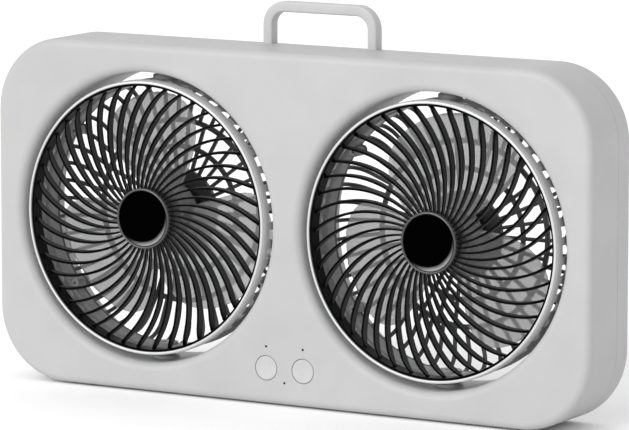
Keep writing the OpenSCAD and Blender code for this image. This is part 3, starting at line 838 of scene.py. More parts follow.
@dataclass(frozen=True)
class HeadPlace:
    """Where the heads and the housing's front face lie in the fan's frame, in millimetres."""

    across: float = 106.1
    front: float = -26.0
    up: float = 115.2
    base: float = 1.2

    def face(self) -> Matrix:
        """The frame of the housing's front face: across, up, and forward from the face."""
        return Matrix.Scale(MM, 4) @ Matrix.Translation((0.0, self.front, self.base)) @ quarter_turn()

    def centre(self, side: Side) -> Point:
        """The centre of a head, in the plane of the housing's front face."""
        return (side.value * self.across, self.front, self.up)

    def head(self, side: Side) -> Matrix:
        """The frame of a head, whose right one is mirrored.

        Args:
            side: The head's side.

        Returns:
            The frame as a matrix.
        """
        mirror = Matrix.Diagonal((-side.value, 1.0, 1.0, 1.0))
        return Matrix.Scale(MM, 4) @ Matrix.Translation(self.centre(side)) @ quarter_turn() @ mirror


@dataclass
class Housing:
    """The two shells, the handle, the feet and the push buttons."""

    place: HeadPlace
    finishes: Finishes
    width: float = 440.0
    height: float = 228.0
    depth: float = 54.0
    corner: float = 49.0
    front_edge: float = 5.0
    back_edge: float = 3.0
    wall: float = 2.4
    parting: float = 37.0
    gap: float = 0.2
    hole: float = 95.3
    lip: float = 5.5
    hold: float = 0.35
    button_at: tuple[float, float] = (13.65, 23.5)
    button_radius: float = 7.85
    button_gap: float = 0.34
    button_lip: float = 0.25
    button_edge: float = 0.45
    button_dish: Outline = ((0.0, -0.35), (3.0, -0.33), (5.4, -0.2))
    button_collar: tuple[float, float, float, float] = (1.3, -2.5, -2.6, -3.6)
    button_stem: tuple[float, float] = (2.0, -5.0)
    light_radius: float = 0.8
    light_lip: float = 0.12
    light_rise: float = 14.1
    light_drop: float = 8.8
    pad_radius: float = 9.0
    pad_height: float = 93.35
    pad_rise: float = 2.5
    pad_edge: float = 0.6
    pad_depth: float = 27.0
    pin_radius: float = 3.0
    screw_inset: float = 24.0
    screw_middles: tuple[float, float] = (66.0, 190.0)
    well: tuple[float, float, float] = (3.1, 2.2, 0.4)
    well_hole: tuple[float, float] = (1.7, 4.0)
    port_at: float = 50.0
    port_size: tuple[float, float] = (9.34, 3.66)
    port_wall: float = 3.0
    handle_size: tuple[float, float, float] = (84.6, 28.0, 8.4)
    handle_bar: float = 6.9
    handle_bend: float = 15.5
    handle_back: float = 44.0
    handle_edge: float = 1.3
    handle_sunk: float = 1.2
    foot_radius: float = 6.0
    foot_edge: float = 0.5
    foot_rise: float = 2.0
    foot_hollow: tuple[float, float, float] = (2.0, 2.4, 0.35)
    foot_at: tuple[float, float, float] = (150.0, 13.0, 44.1)

    def skin(self, form: Form, near: float, far: float, edge: float, front: bool) -> None:
        """Draws a shell's outer skin: its sides and the rounding up to its flat face.

        Args:
            form: The form to draw in.
            near: The height of the skin's front end, above the front face.
            far: The height of its back end.
            edge: The radius of the rounding.
            front: Whether the flat face is the front one.
        """
        half = self.width / 2
        form.block((-half, 0.0, far), (half, self.height, near))
        upright = form.edges(lambda a, b: abs(a.z - b.z) > 1.0)
        form.bevel(upright, self.corner, 24)
        form.bm.normal_update()
        face_at = near if front else far
        open_at = far if front else near
        flat = [f for f in form.bm.faces if abs(f.normal.z) > 0.9]
        caps = [f for f in flat if abs(f.calc_center_median().z - open_at) < NEAR]
        bmesh.ops.delete(form.bm, geom=caps, context="FACES_ONLY")
        form.bevel(form.level(face_at), edge, 7)
        hold_at = face_at - math.copysign(edge + self.hold, 1.0 if front else -1.0)
        everything = form.bm.verts[:] + form.bm.edges[:] + form.bm.faces[:]
        bmesh.ops.bisect_plane(
            form.bm, geom=everything, plane_co=(0.0, 0.0, hold_at), plane_no=(0.0, 0.0, 1.0)
        )
        form.bm.normal_update()
        face = [f for f in form.bm.faces if abs(f.normal.z) > 0.999 and len(f.verts) > 20]
        bmesh.ops.inset_region(form.bm, faces=face, thickness=self.hold, use_even_offset=True)
        bmesh.ops.delete(form.bm, geom=face, context="FACES_ONLY")

    def mouth(
        self,
        form: Form,
        radius: float,
        edge: float,
        at: tuple[float, float],
        face: float,
        end: float,
        steps: int = 128,
    ) -> None:
        """Draws a round opening: a band in the face, the rounding of its lip and its wall.

        Args:
            form: The form to draw in.
            radius: The opening's radius.
            edge: The radius of its lip.
            at: Its centre, across and up.
            face: The height of the face that it opens in.
            end: The height where its wall ends.
            steps: The number of steps round it.
        """
        away = math.copysign(1.0, end - face)
        hold = min(self.hold, edge)
        start, stop = (90.0, 180.0) if away < 0 else (-90.0, -180.0)
        profile = [(radius + edge + hold, face)]
        profile += arc((radius + edge, face + away * edge), edge, start, stop, 7 if edge > 1.0 else 3)
        profile += [(radius, face + away * (edge + hold)), (radius, end)]
        form.turned(profile, steps, at)

    def pads(self, form: Form) -> None:
        """Draws the flat pads above and below each head, where its pivot pins come out.

        Args:
            form: The form to draw in.
        """
        middle = self.height / 2
        top, edge = self.pad_height, self.pad_edge
        profile = [(self.pin_radius, top + self.pad_rise), (self.pin_radius, top)]
        profile += arc((self.pad_radius - edge, top + edge), edge, -90.0, 0.0, 4)
        profile += [(self.pad_radius, top + self.pad_rise)]
        for side in Side:
            for up in (1.0, -1.0):
                spot = Matrix.Translation((side.value * self.place.across, middle, -self.pad_depth))
                form.turned(profile, 48, place=spot @ quarter_turn(-up))

    def front_shell(self) -> None:
        """Builds the front shell with its through-holes, the buttons' openings and the lights' pin-holes."""
        form = Form()
        self.skin(form, 0.0, -self.parting, self.front_edge, True)
        middle = self.height / 2
        across, up = self.button_at
        opening = self.button_radius + self.button_gap
        for side in Side:
            at = (side.value * self.place.across, middle)
            self.mouth(form, self.hole, self.lip, at, 0.0, -self.parting)
            spot, light = (side.value * across, up), (side.value * across, up + self.light_rise)
            self.mouth(form, opening, self.button_lip, spot, 0.0, -self.wall, 48)
            self.mouth(form, self.light_radius, self.light_lip, light, 0.0, -self.wall, 20)
        light = (0.0, up - self.light_drop)
        self.mouth(form, self.light_radius, self.light_lip, light, 0.0, -self.wall, 20)
        form.cap(0.0)
        self.pads(form)
        form.piece(
            "shell_front", self.finishes.shell, "housing", self.place.face(), ["front_shell"],
            self.wall,
        )

    def rear_shell(self) -> None:
        """Builds the rear shell with its screw wells and the slot for the charging inlet."""
        form = Form()
        near, far = -self.parting - self.gap, -self.depth
        self.skin(form, near, far, self.back_edge, False)
        middle = self.height / 2
        for side in Side:
            at = (side.value * self.place.across, middle)
            self.mouth(form, self.hole, self.back_edge, at, far, near)
        corner = self.width / 2 - self.screw_inset
        heights = (self.screw_inset, self.height - self.screw_inset)
        wells = [(x, z) for x in (-corner, corner) for z in heights]
        wells += [(0.0, z) for z in self.screw_middles]
        radius, sunk, edge = self.well
        bore, through = self.well_hole
        for well in wells:
            self.mouth(form, radius, edge, well, far, far + sunk, 40)
            form.turned([(radius, far + sunk), (bore, far + sunk), (bore, far + through)], 40, well)
        self.slot(form, (0.0, self.port_at), self.port_size, far, far + self.port_wall)
        form.cap(far)
        form.piece(
            "shell_rear", self.finishes.shell, "housing", self.place.face(), ["rear_shell"],
            self.wall,
        )

    def slot(
        self, form: Form, at: tuple[float, float], size: tuple[float, float], face: float, end: float
    ) -> None:
        """Draws a slot with round ends in a flat face.

        Args:
            form: The form to draw in.
            at: The slot's centre, across and up.
            size: Its width and height.
            face: The height of the face.
            end: The height where its wall ends.
        """
        low = (at[0] - size[0] / 2, at[1] - size[1] / 2, min(face, end))
        high = (at[0] + size[0] / 2, at[1] + size[1] / 2, max(face, end))
        verts = set(form.block(low, high))
        sides = [f for f in form.bm.faces if set(f.verts) <= verts]
        faces = [f for f in sides if abs(f.calc_center_median().z - low[2]) < NEAR]
        faces += [f for f in sides if abs(f.calc_center_median().z - high[2]) < NEAR]
        bmesh.ops.delete(form.bm, geom=faces, context="FACES_ONLY")
        loose = [e for e in form.bm.edges if set(e.verts) <= verts]
        upright = [e for e in loose if abs(e.verts[0].co.z - e.verts[1].co.z) > 1.0]
        form.bevel(upright, size[1] / 2 - 0.25, 6)

    def handle(self) -> None:
        """Builds the carrying handle: one bar, bent twice, with soft edges."""
        form = Form()
        width, rise, depth = self.handle_size
        bar, bend, top = self.handle_bar, self.handle_bend, self.height
        near, far = -self.handle_back, -self.handle_back - depth
        left, foot = -width / 2, top - self.handle_sunk
        knee = top + rise - bend
        section = [(left, foot, near), (left + bar, foot, near), (left + bar, foot, far), (left, foot, far)]
        edges = form.drawn(form.chain(section, closed=True), (0.0, knee - foot, 0.0))
        bends = (
            ((left + bend, knee, 0.0), (width - 2 * bend, 0.0, 0.0)),
            ((-left - bend, knee, 0.0), (0.0, foot - knee, 0.0)),
        )
        for centre, run in bends:
            edges = form.drawn(form.spin(edges, -90.0, 14, centre), run)
        form.weld()
        bmesh.ops.recalc_face_normals(form.bm, faces=form.bm.faces)
        form.bevel(form.sharp(), self.handle_edge, 4)
        form.fill_ends()
        place = self.place.face()
        form.piece("carry_handle", self.finishes.handle, "housing", place, ["handle"])

    def buttons(self) -> None:
        """Builds the two push buttons, each with a slightly hollow top and a soft rim."""
        across, up = self.button_at
        radius, edge = self.button_radius, self.button_edge
        wide, skirt, top, under = self.button_collar
        stem, end = self.button_stem
        profile = [*self.button_dish, (radius - 1.1, 0.0)]
        profile += arc((radius - edge, -edge), edge, 90.0, 0.0, 4)
        profile += [(radius, skirt), (radius + wide, top), (radius + wide, under)]
        profile += [(stem, under), (stem, end), (0.0, end)]
        for side in Side:
            form = Form()
            form.turned(profile, 64, (side.value * across, up))
            form.piece(
                f"{side.word}_push", self.finishes.button, f"{side.word}_push", self.place.face(),
                [f"{side.word}_button"],
            )

    def feet(self) -> None:
        """Builds the four rubber feet."""
        form = Form()
        across, near, far = self.foot_at
        radius, edge = self.foot_radius, self.foot_edge
        lip, slope, hollow = self.foot_hollow
        profile = [(0.0, self.foot_rise), (radius, self.foot_rise), (radius, edge)]
        profile += arc((radius - edge, edge), edge, 0.0, -90.0, 4)
        profile += [(radius - lip, 0.0), (radius - slope, hollow), (0.0, hollow)]
        for x in (-across, across):
            for depth in (near, far):
                form.turned(profile, 48, (x, self.place.front + depth))
        place = Matrix.Scale(MM, 4)
        form.piece("feet", self.finishes.foot, "housing", place, ["rubber_feet"])

    def build(self) -> None:
        """Builds the whole housing."""
        self.front_shell()
        self.rear_shell()
        self.handle()
        self.buttons()
        self.feet()


@dataclass
class FanHead:
    """One fan head: ring, grille, cap, drum, guard and fan."""

    side: Side
    place: HeadPlace
    finishes: Finishes
    own: HeadFinishes
    head_depth: float = 47.5
    ring_radius: float = 90.2
    ring_bore: float = 88.0
    ring_depth: float = 8.6
    ring_lip: float = 0.5
    ring_roll: float = 1.0
    ring_bulge: Outline = ((0.12, -2.6), (0.0, -5.0))
    ring_edge: float = 0.4
    painted_flank_light_turn: float = 0.5
    ribs: int = 45
    rib_width: float = 1.75
    rib_depth: float = 6.0
    rib_twist: float = 34.4
    rib_arc: float = 69.0
    rib_front: float = 0.6
    rib_crown: Outline = ((1.0, 1.2), (0.86, 0.45), (0.45, 0.06))
    rib_foot: tuple[float, float] = (0.4, 0.5)
    rib_sunk: tuple[float, float] = (1.2, 0.9)
    rib_thin: tuple[float, float, float] = (0.66, 19.0, 30.0)
    rib_shallow: tuple[float, float, float] = (0.4, 24.0, 32.0)
    rib_fall: tuple[float, float, float] = (4.6, 78.0, 9.0)
    collar: tuple[float, float] = (2.2, 0.4)
    collar_sunk: float = 0.5
    rim_depth: float = 11.0
    rim_front: float = 0.8
    rim_gap: float = 0.1
    rim_edges: tuple[float, float, float] = (0.3, 0.4, 0.5)
    cap_radius: float = 20.0
    cap_proud: float = 2.0
    cap_edge: float = 1.05
    cap_lip: float = 0.55
    cap_floor: float = 1.9
    cap_gap: float = 0.05
    cap_skirt: tuple[float, float] = (17.7, 6.0)
    disc_radius: float = 17.9
    disc_sunk: float = 1.2
    disc_dish: tuple[float, float, float] = (2.6, 4.2, -53.0)
    drum_radius: float = 89.3
    drum_bore: float = 86.4
    drum_back: float = 30.0
    drum_gap: float = 0.15
    vent: tuple[float, float, float] = (7.6, 4.9, 18.0)
    thin_wall: tuple[float, float] = (88.1, 19.6)
    pivot_depth: float = 27.0
    pivot_boss: tuple[float, float, float, float] = (4.5, 8.0, 85.0, 92.0)
    pivot_boss_edge: float = 0.6
    screw_boss: tuple[float, float, float] = (1.0, 3.4, 8.9)
    screw_boss_edge: tuple[float, float] = (0.6, 0.7)
    hoops: tuple[float, float] = (60.0, 42.5)
    hoop_ends: Outline = ((0.6, 0.3), (1.0, 0.4))
    hoop_width: float = 3.2
    hoop_edge: float = 0.4
    plate: float = 28.0
    plate_edge: float = 0.6
    plate_front: float = 0.15
    plate_groove: tuple[float, float, float] = (16.7, 3.0, 0.5)
    spokes: int = 30
    spoke_sunk: tuple[float, float] = (0.7, 0.8)
    spoke_edge: float = 0.45
    guard_rib: float = 2.4
    guard_edge: float = 0.55
    guard_sunk: float = 0.5
    guard_deep: float = 3.5
    guard_slant: float = -2.0
    guard_bend: float = 13.0
    guard_wall: float = 2.3
    guard_band: tuple[float, float] = (30.15, 32.75)
    guard_band_turn: float = 169.4
    guard_clear: tuple[float, float] = (8.3, 81.0)
    guard_screws: tuple[float, ...] = (37.0, 143.0, 217.0, 323.0)
    guard_lug: tuple[float, float] = (84.6, 34.2)
    guard_well: tuple[float, float, float, float] = (1.2, 2.2, 3.4, 1.5)
    fan_radius: float = 80.0
    fan_hub: float = 21.0
    fan_hub_ends: tuple[float, float] = (-14.5, -33.0)
    fan_hub_edge: float = 1.5
    fan_hub_wall: float = 2.0
    fan_sleeve: tuple[float, float, float] = (1.5, 4.5, -19.3)
    blades: int = 3
    blade_wall: float = 1.6
    blade_edge: float = 0.5
    blade_span: tuple[float, float, float] = (96.0, 26.0, 6.0)
    blade_lean: tuple[float, float] = (-8.0, 13.0)
    blade_skew: tuple[float, float] = (-30.0, 50.0)
    blade_curve: tuple[float, float] = (104.8, 71.5)
    blade_bunch: float = 1.6
    blade_phases: dict[Side, float] = field(default_factory=lambda: {Side.LEFT: 95.0, Side.RIGHT: 96.0})

    def set(
        self, form: Form, name: str, finish: Finish, slot: str, node: str, turning: bool = False
    ) -> bpy.types.Object:
        """Makes a form a piece of this head.

        Args:
            form: The form, in the head's own frame.
            name: The piece's name without its side.
            finish: Its finish.
            slot: The record's material slot, which is not used.
            node: The node that it stands for, without its side.
            turning: Whether it turns with the fan.

        Returns:
            The piece.
        """
        word = self.side.word
        body = f"{word}_impeller" if turning else f"{word}_head"
        place = self.place.head(self.side)
        return form.piece(f"{word}_{name}", finish, body, place, [f"{word}_{node}"])

    def trim_ring(self) -> None:
        """Builds the bright ring with its rolled front lip."""
        form = Form()
        bore, outer, deep = self.ring_bore, self.ring_radius, self.ring_depth
        lip, roll, edge = self.ring_lip, self.ring_roll, self.ring_edge
        profile = [(bore, -deep), (bore, -lip)]
        profile += arc((bore + lip, -lip), lip, 180.0, 90.0, 4)[1:]
        profile += arc((outer - roll - 0.3, -roll), roll, 90.0, 15.0, 5)
        profile += [(outer - inset, height) for inset, height in self.ring_bulge]
        profile += [(outer, -deep + edge + 0.2)]
        profile += arc((outer - edge, -deep + edge), edge, 0.0, -90.0, 3)
        form.turned(profile, 180, closed=True)
        self.set(form, "ring", self.own.ring(), "ring_metal", "trim_ring")

    def rib(self, form: Form) -> None:
        """Draws one front rib along its arc, thinner at the hub and sloping back at the rim.

        Args:
            form: The form to draw in.
        """
        twist = math.radians(self.rib_twist)
        under_cap, in_rim = self.rib_sunk
        hub = Vector((math.cos(twist), math.sin(twist))) * (self.cap_radius - under_cap)
        rim = Vector((self.drum_bore + in_rim, 0.0))
        chord = hub - rim
        half = chord.length / 2
        across = Vector((-chord.y, chord.x)).normalized()
        centre = (hub + rim) / 2 + across * math.sqrt(self.rib_arc**2 - half**2)
        start = math.atan2(rim.y - centre.y, rim.x - centre.x)
        turn = math.degrees(2 * math.asin(half / self.rib_arc))
        width, top, deep = self.rib_width / 2, -self.rib_front, -self.rib_front - self.rib_depth
        edge, narrow = self.rib_foot
        left = [(-width, deep + edge)] + [(-width * part, top - drop) for part, drop in self.rib_crown]
        profile = left + [(-r, z) for r, z in reversed(left)]
        profile += [(width * narrow, deep), (-width * narrow, deep)]
        out = Vector((math.cos(start), math.sin(start)))
        points = [(*(centre + out * (self.rib_arc + r)), z) for r, z in profile]
        loop = form.chain(points, closed=True)
        form.spin(loop, turn, 26, (*centre, 0.0))
        form.fill_ends()
        thinnest, thin_from, thin_run = self.rib_thin
        lowest, low_from, low_run = self.rib_shallow
        back, fall_from, fall_run = self.rib_fall
        for vert in form.bm.verts:
            flat = Vector(vert.co.xy)
            radius = flat.length
            arm = flat - centre
            thin = thinnest + (1.0 - thinnest) * part_way(radius, thin_from, thin_run)
            flat = centre + arm.normalized() * (self.rib_arc + (arm.length - self.rib_arc) * thin)
            rise = (vert.co.z - deep) / self.rib_depth
            fall = max(0.0, (radius - fall_from) / fall_run) ** 2 * back * rise
            sunk = (vert.co.z - top) * (lowest + (1.0 - lowest) * part_way(radius, low_from, low_run))
            vert.co = (flat.x, flat.y, top + sunk - fall)

    def grille(self) -> None:
        """Builds the front grille: its ribs, the rim that carries them and the hub's collar."""
        form = Form()
        self.rib(form)
        form.repeat(self.ribs)
        inner, outer = (self.cap_radius - inset for inset in self.collar)
        front = -self.rib_front - self.collar_sunk
        back = front - self.rib_depth
        form.turned([(inner, back), (inner, front), (outer, front), (outer, back)], 72, closed=True)
        rim, bore = self.ring_bore - self.rim_gap, self.drum_bore
        top, foot = -self.rim_front, -self.rim_depth
        outside, inside, slope = self.rim_edges
        profile = [(rim, foot), (rim, top - outside), (rim - outside, top), (bore + inside, top)]
        profile += [(bore, top - slope), (bore, foot + inside), (bore + inside, foot)]
        form.turned(profile, 180, closed=True)
        made = self.set(form, "grille", self.own.grille(), "grille_plastic", "front_grille")
        # Painted light: how sideways each corner faces, kept as the mask that lightens the ribs' flanks.
        normals = [corner.vector.y / self.painted_flank_light_turn for corner in made.data.corner_normals]
        painted_flank_mask = made.data.attributes.new(PAINTED_FLANK_MASK, "FLOAT", "CORNER")
        painted_flank_mask.data.foreach_set("value", [1.0 - min(1.0, normal**2) for normal in normals])

    def hub(self) -> None:
        """Builds the hub cap with its rounded shoulder, and the glossy disc let into it."""
        form = Form()
        radius, proud, disc = self.cap_radius, self.cap_proud, self.disc_radius
        edge, lip, gap = self.cap_edge, self.cap_lip, self.cap_gap
        skirt, deep = self.cap_skirt
        floor, top = proud - self.cap_floor, proud - self.disc_sunk
        profile = [(0.0, floor), (disc + gap, floor), (disc + gap, top)]
        profile += arc((radius - edge, proud - lip), lip, 155.0, 90.0, 4)
        profile += arc((radius - edge, proud - edge), edge, 90.0, 0.0, 8)[1:]
        profile += [(radius, -lip), (skirt, -lip), (skirt, -deep), (0.0, -deep)]
        form.turned(profile, 120)
        self.set(form, "cap", self.finishes.cap, "cap_plastic", "hub_cap")
        form = Form()
        inset, bend, end = self.disc_dish
        profile = [(0.0, top), (disc * 0.5, top)] + arc((disc - inset, top + bend), bend, -90.0, end, 9)
        profile += [(disc, profile[-1][1] - 0.02), (disc, floor + gap), (0.0, floor + gap)]
        form.turned(profile, 120)
        self.set(form, "badge", self.own.disc(), "disc_plastic", "hub_disc")

    def in_vent(self, spot: Vector) -> bool:
        """Whether a point of the unrolled wall lies in a vent or on its edge.

        Args:
            spot: The point, whose x is its angle in degrees.

        Returns:
            Whether it lies there.
        """
        width, near, far = self.vent
        pitch = 360.0 / self.ribs
        half = width / 2
        for index in (int(spot.x // pitch - 0.01), int(spot.x // pitch)):
            across = math.radians(spot.x - (index + 0.5) * pitch) * self.drum_radius
            middle = min(max(spot.z, -far + half), -near - half)
            if math.hypot(across, spot.z - middle) < half + NEAR:
                return True
        return False

    def drum(self) -> None:
        """Builds the drum: a wall notched behind the ring, with bosses for the pivots and screws."""
        form = Form()
        front, back = -self.ring_depth - self.drum_gap, -self.drum_back
        width, _, far = self.vent
        thin, thin_back = self.thin_wall
        half = width / 2
        pitch = 360.0 / self.ribs
        reach = math.degrees(half / self.drum_radius)
        bends = [1.0 - math.sin(math.radians(a)) for a in (90.0, 60.0, 30.0, 0.0)]
        heights = [front, front - 2.0] + [-far + half * b for b in reversed(bends)]
        heights += [-thin_back, -thin_back - 1.6, back + 0.5, back]
        turns = [math.cos(math.radians(a)) * reach for a in range(180, -30, -30)]
        bar = (pitch / 2 - reach) / 2
        stops = [0.0, bar] + [pitch / 2 + t for t in turns] + [pitch - bar]
        columns = [i * pitch + s for i in range(self.ribs) for s in stops] + [360.0]
        across, down = len(columns) - 1, len(heights) - 1
        grid = bmesh.ops.create_grid(form.bm, x_segments=across, y_segments=down, size=0.5)["verts"]
        for vert in grid:
            column, row = round((vert.co.x + 0.5) * across), round((vert.co.y + 0.5) * down)
            vert.co = (columns[column], 0.0, heights[row])
        self.cut_vents(form)
        for vert in form.bm.verts:
            angle = math.radians(vert.co.x)
            vert.co = (self.drum_radius * math.cos(angle), self.drum_radius * math.sin(angle), vert.co.z)
        form.weld(0.01)
        bmesh.ops.recalc_face_normals(form.bm, faces=form.bm.faces)
        bmesh.ops.solidify(form.bm, geom=form.bm.faces[:], thickness=self.drum_radius - self.drum_bore)
        for vert in form.bm.verts:
            if vert.co.z > -thin_back - 0.1 and vert.co.xy.length < thin:
                vert.co.xy = vert.co.xy.normalized() * thin
        self.bosses(form, back + 0.1)
        self.set(form, "casing", self.own.drum(), "drum_plastic", "drum")

    def cut_vents(self, form: Form) -> None:
        """Opens the vents in the unrolled wall, with round ends.

        Args:
            form: The wall's grid, whose x is the angle in degrees.
        """
        gone = []
        for face in form.bm.faces[:]:
            middle = face.calc_center_median()
            inside = [v for v in face.verts if self.in_vent(v.co)]
            if len(inside) == 4 and self.in_vent(middle):
                gone.append(face)
            elif len(inside) == 3:
                outer = next(v for v in face.verts if v not in inside)
                ends = [e.other_vert(outer) for e in outer.link_edges if e.other_vert(outer) in inside]
                split = bmesh.ops.connect_verts(form.bm, verts=ends)["edges"]
                gone += [f for e in split for f in e.link_faces if outer not in f.verts]
        bmesh.ops.delete(form.bm, geom=gone, context="FACES")

    def bosses(self, form: Form, back: float) -> None:
        """Draws the pivot bosses and the screw bosses in the drum.

        Args:
            form: The form to draw in.
            back: The height of the screw bosses' back ends.
        """
        bore, radius, foot, top = self.pivot_boss
        edge = self.pivot_boss_edge
        profile = [(bore, foot), (radius, foot)]
        profile += arc((radius - edge, top - edge), edge, 0.0, 90.0, 3) + [(bore, top)]
        depth = Matrix.Translation((0.0, 0.0, -self.pivot_depth))
        for up in (1.0, -1.0):
            form.turned(profile, 48, closed=True, place=depth @ quarter_turn(-up))
        bore, radius, length = self.screw_boss
        inset, slope = self.screw_boss_edge
        front = back + length
        profile = [(bore, back), (radius, back), (radius, front - slope)]
        profile += [(radius - inset, front), (bore, front)]
        for spot in self.lug_spots():
            form.turned(profile, 24, spot, closed=True)

    def lug_spots(self) -> list[tuple[float, float]]:
        """Where the screws between the drum and the guard stand."""
        turns = [math.radians(angle) for angle in self.guard_screws]
        return [(math.cos(turn) * self.guard_lug[0], math.sin(turn) * self.guard_lug[0]) for turn in turns]

    def basket_rib(self, form: Form) -> None:
        """Draws one outer rib of the guard: along the back from the hoop, then bent forward to the band.

        Args:
            form: The form to draw in.
        """
        lean = math.radians(self.guard_slant)
        end = Vector((math.cos(lean), math.sin(lean))) * (self.drum_radius - 0.3)
        run = end - Vector((self.hoops[0], 0.0))
        half, soft = self.guard_rib / 2, self.guard_edge
        low = self.guard_sunk - self.head_depth
        top = low + self.guard_wall
        side = half - soft
        corners = [(side, top - soft), (-side, top - soft), (-side, low + soft), (side, low + soft)]
        section = []
        for quarter, middle in enumerate(corners):
            section += arc(middle, soft, 90.0 * quarter, 90.0 * (quarter + 1), 2)
        straight = run.length - self.guard_bend
        before = set(form.bm.verts)
        loop = form.chain([(0.0, y, z) for y, z in section], closed=True)
        loop = form.drawn(loop, (straight, 0.0, 0.0))
        loop = form.spin(loop, 90.0, 9, (straight, 0.0, low + self.guard_bend), (0.0, -1.0, 0.0))
        middle = -sum(self.guard_band) / 2
        form.drawn(loop, (0.0, 0.0, middle - low - self.guard_bend))
        form.fill_ends()
        turn = Matrix.Rotation(math.atan2(run.y, run.x), 4, "Z")
        place = Matrix.Translation((self.hoops[0], 0.0, 0.0)) @ turn
        place = Matrix.Rotation(math.pi / self.ribs, 4, "Z") @ place
        bmesh.ops.transform(form.bm, matrix=place, verts=form.since(before))

    def spoke(self, form: Form) -> None:
        """Draws one inner bar of the guard, from the motor's plate to the outer hoop.

        Args:
            form: The form to draw in.
        """
        overlap, drop = self.spoke_sunk
        inner, outer, half = self.plate - overlap, self.hoops[0] + overlap, self.guard_rib / 2
        low, top = self.guard_sunk - self.head_depth, self.guard_deep - self.head_depth - drop
        form.block((inner, -half, low), (outer, half, top))
        form.bevel(form.edges(lambda a, b: abs(a.x - b.x) > 1.0), self.spoke_edge, 2)

    def hoop(self, form: Form, radius: float, near: float, far: float) -> None:
        """Draws a round hoop with soft edges.

        Args:
            form: The form to draw in.
            radius: The radius of its middle.
            near: The height of its front.
            far: The height of its back.
        """
        soft = self.hoop_edge
        inner, outer = radius - self.hoop_width / 2, radius + self.hoop_width / 2
        profile = [(inner, near - soft), (inner, far + soft), (inner + soft, far), (outer - soft, far)]
        profile += [(outer, far + soft), (outer, near - soft), (outer - soft, near), (inner + soft, near)]
        form.turned(profile, 120, closed=True)

    def guard(self) -> None:
        """Builds the rear guard, a basket: its band, two rows of ribs, two hoops and the motor's plate."""
        form = Form()
        back, near = -self.head_depth, -self.head_depth + self.guard_deep
        self.basket_rib(form)
        form.repeat(self.ribs)
        clear, beyond = self.guard_clear
        for vert in form.bm.verts:
            if abs(vert.co.x) < clear and vert.co.xy.length > beyond:
                vert.co.z = min(vert.co.z, -self.pivot_depth - math.sqrt(clear**2 - vert.co.x**2))
        spokes = Form()
        self.spoke(spokes)
        spokes.repeat(self.spokes)
        form.join(spokes)
        for radius, (front_drop, back_rise) in zip(self.hoops, self.hoop_ends):
            self.hoop(form, radius, near - front_drop, back + back_rise)
        form.join(self.band())
        plate, edge = self.plate, self.plate_edge
        top, floor = near - self.plate_front, back + edge
        middle, outside, slope = self.plate_groove
        profile = [(0.0, top), (plate, top), (plate, floor), (plate - edge, back), (plate - outside, back)]
        profile += [(plate - outside - slope, floor), (middle + slope, floor), (middle, back), (0.0, back)]
        form.turned(profile, 96)
        bore, well, radius, sunk = self.guard_well
        front, rear, soft = -self.guard_band[0], -self.guard_lug[1], self.hoop_edge
        profile = [(bore, front), (radius, front), (radius, rear + soft), (radius - soft, rear)]
        profile += [(well, rear), (well, rear + sunk), (bore, rear + sunk)]
        for spot in self.lug_spots():
            form.turned(profile, 24, spot, closed=True)
        self.set(form, "rear_grille", self.finishes.guard, "drum_plastic", "rear_guard")

    def band(self) -> Form:
        """Draws the guard's band, in two halves that leave the pivots free.

        Returns:
            The band as a form of its own.
        """
        band = Form()
        front, rear = (-depth for depth in self.guard_band)
        inner, outer, soft, turn = self.drum_bore, self.drum_radius, self.hoop_edge, self.guard_band_turn
        profile = [(inner, front), (outer, front), (outer, rear + soft)]
        profile += [(outer - soft, rear), (inner + soft, rear), (inner, rear + soft)]
        band.spin(band.chain([(r, 0.0, z) for r, z in profile], closed=True), turn, 84)
        band.fill_ends()
        middle = Matrix.Rotation(math.radians(-turn / 2), 3, "Z")
        bmesh.ops.rotate(band.bm, matrix=middle, verts=band.bm.verts)
        band.repeat(2)
        return band

    def blade_point(self, out: float, along: float) -> tuple[float, float, float]:
        """A point on a blade's middle surface.

        Args:
            out: The share of the way from the root to the tip.
            along: The share of the way across the blade, from -0.5 to 0.5.

        Returns:
            The point.
        """
        root = self.fan_hub - 1.0
        radius = root + (self.fan_radius - root) * out
        widest, narrowing, least = self.blade_span
        span = (widest - narrowing * out) * math.sqrt(max(0.0, 1.0 - out**7)) + least
        lean, sweep = self.blade_lean
        angle = math.radians(lean + sweep * out + along * span)
        x, y = radius * math.cos(angle), radius * math.sin(angle)
        slant, aside = self.blade_skew
        skew = math.atan2(slant, self.fan_radius - self.fan_hub)
        away = (y - aside) * math.cos(skew) - (x - self.fan_hub) * math.sin(skew)
        bend, centre = self.blade_curve
        return x, y, centre - math.sqrt(bend**2 - away**2)

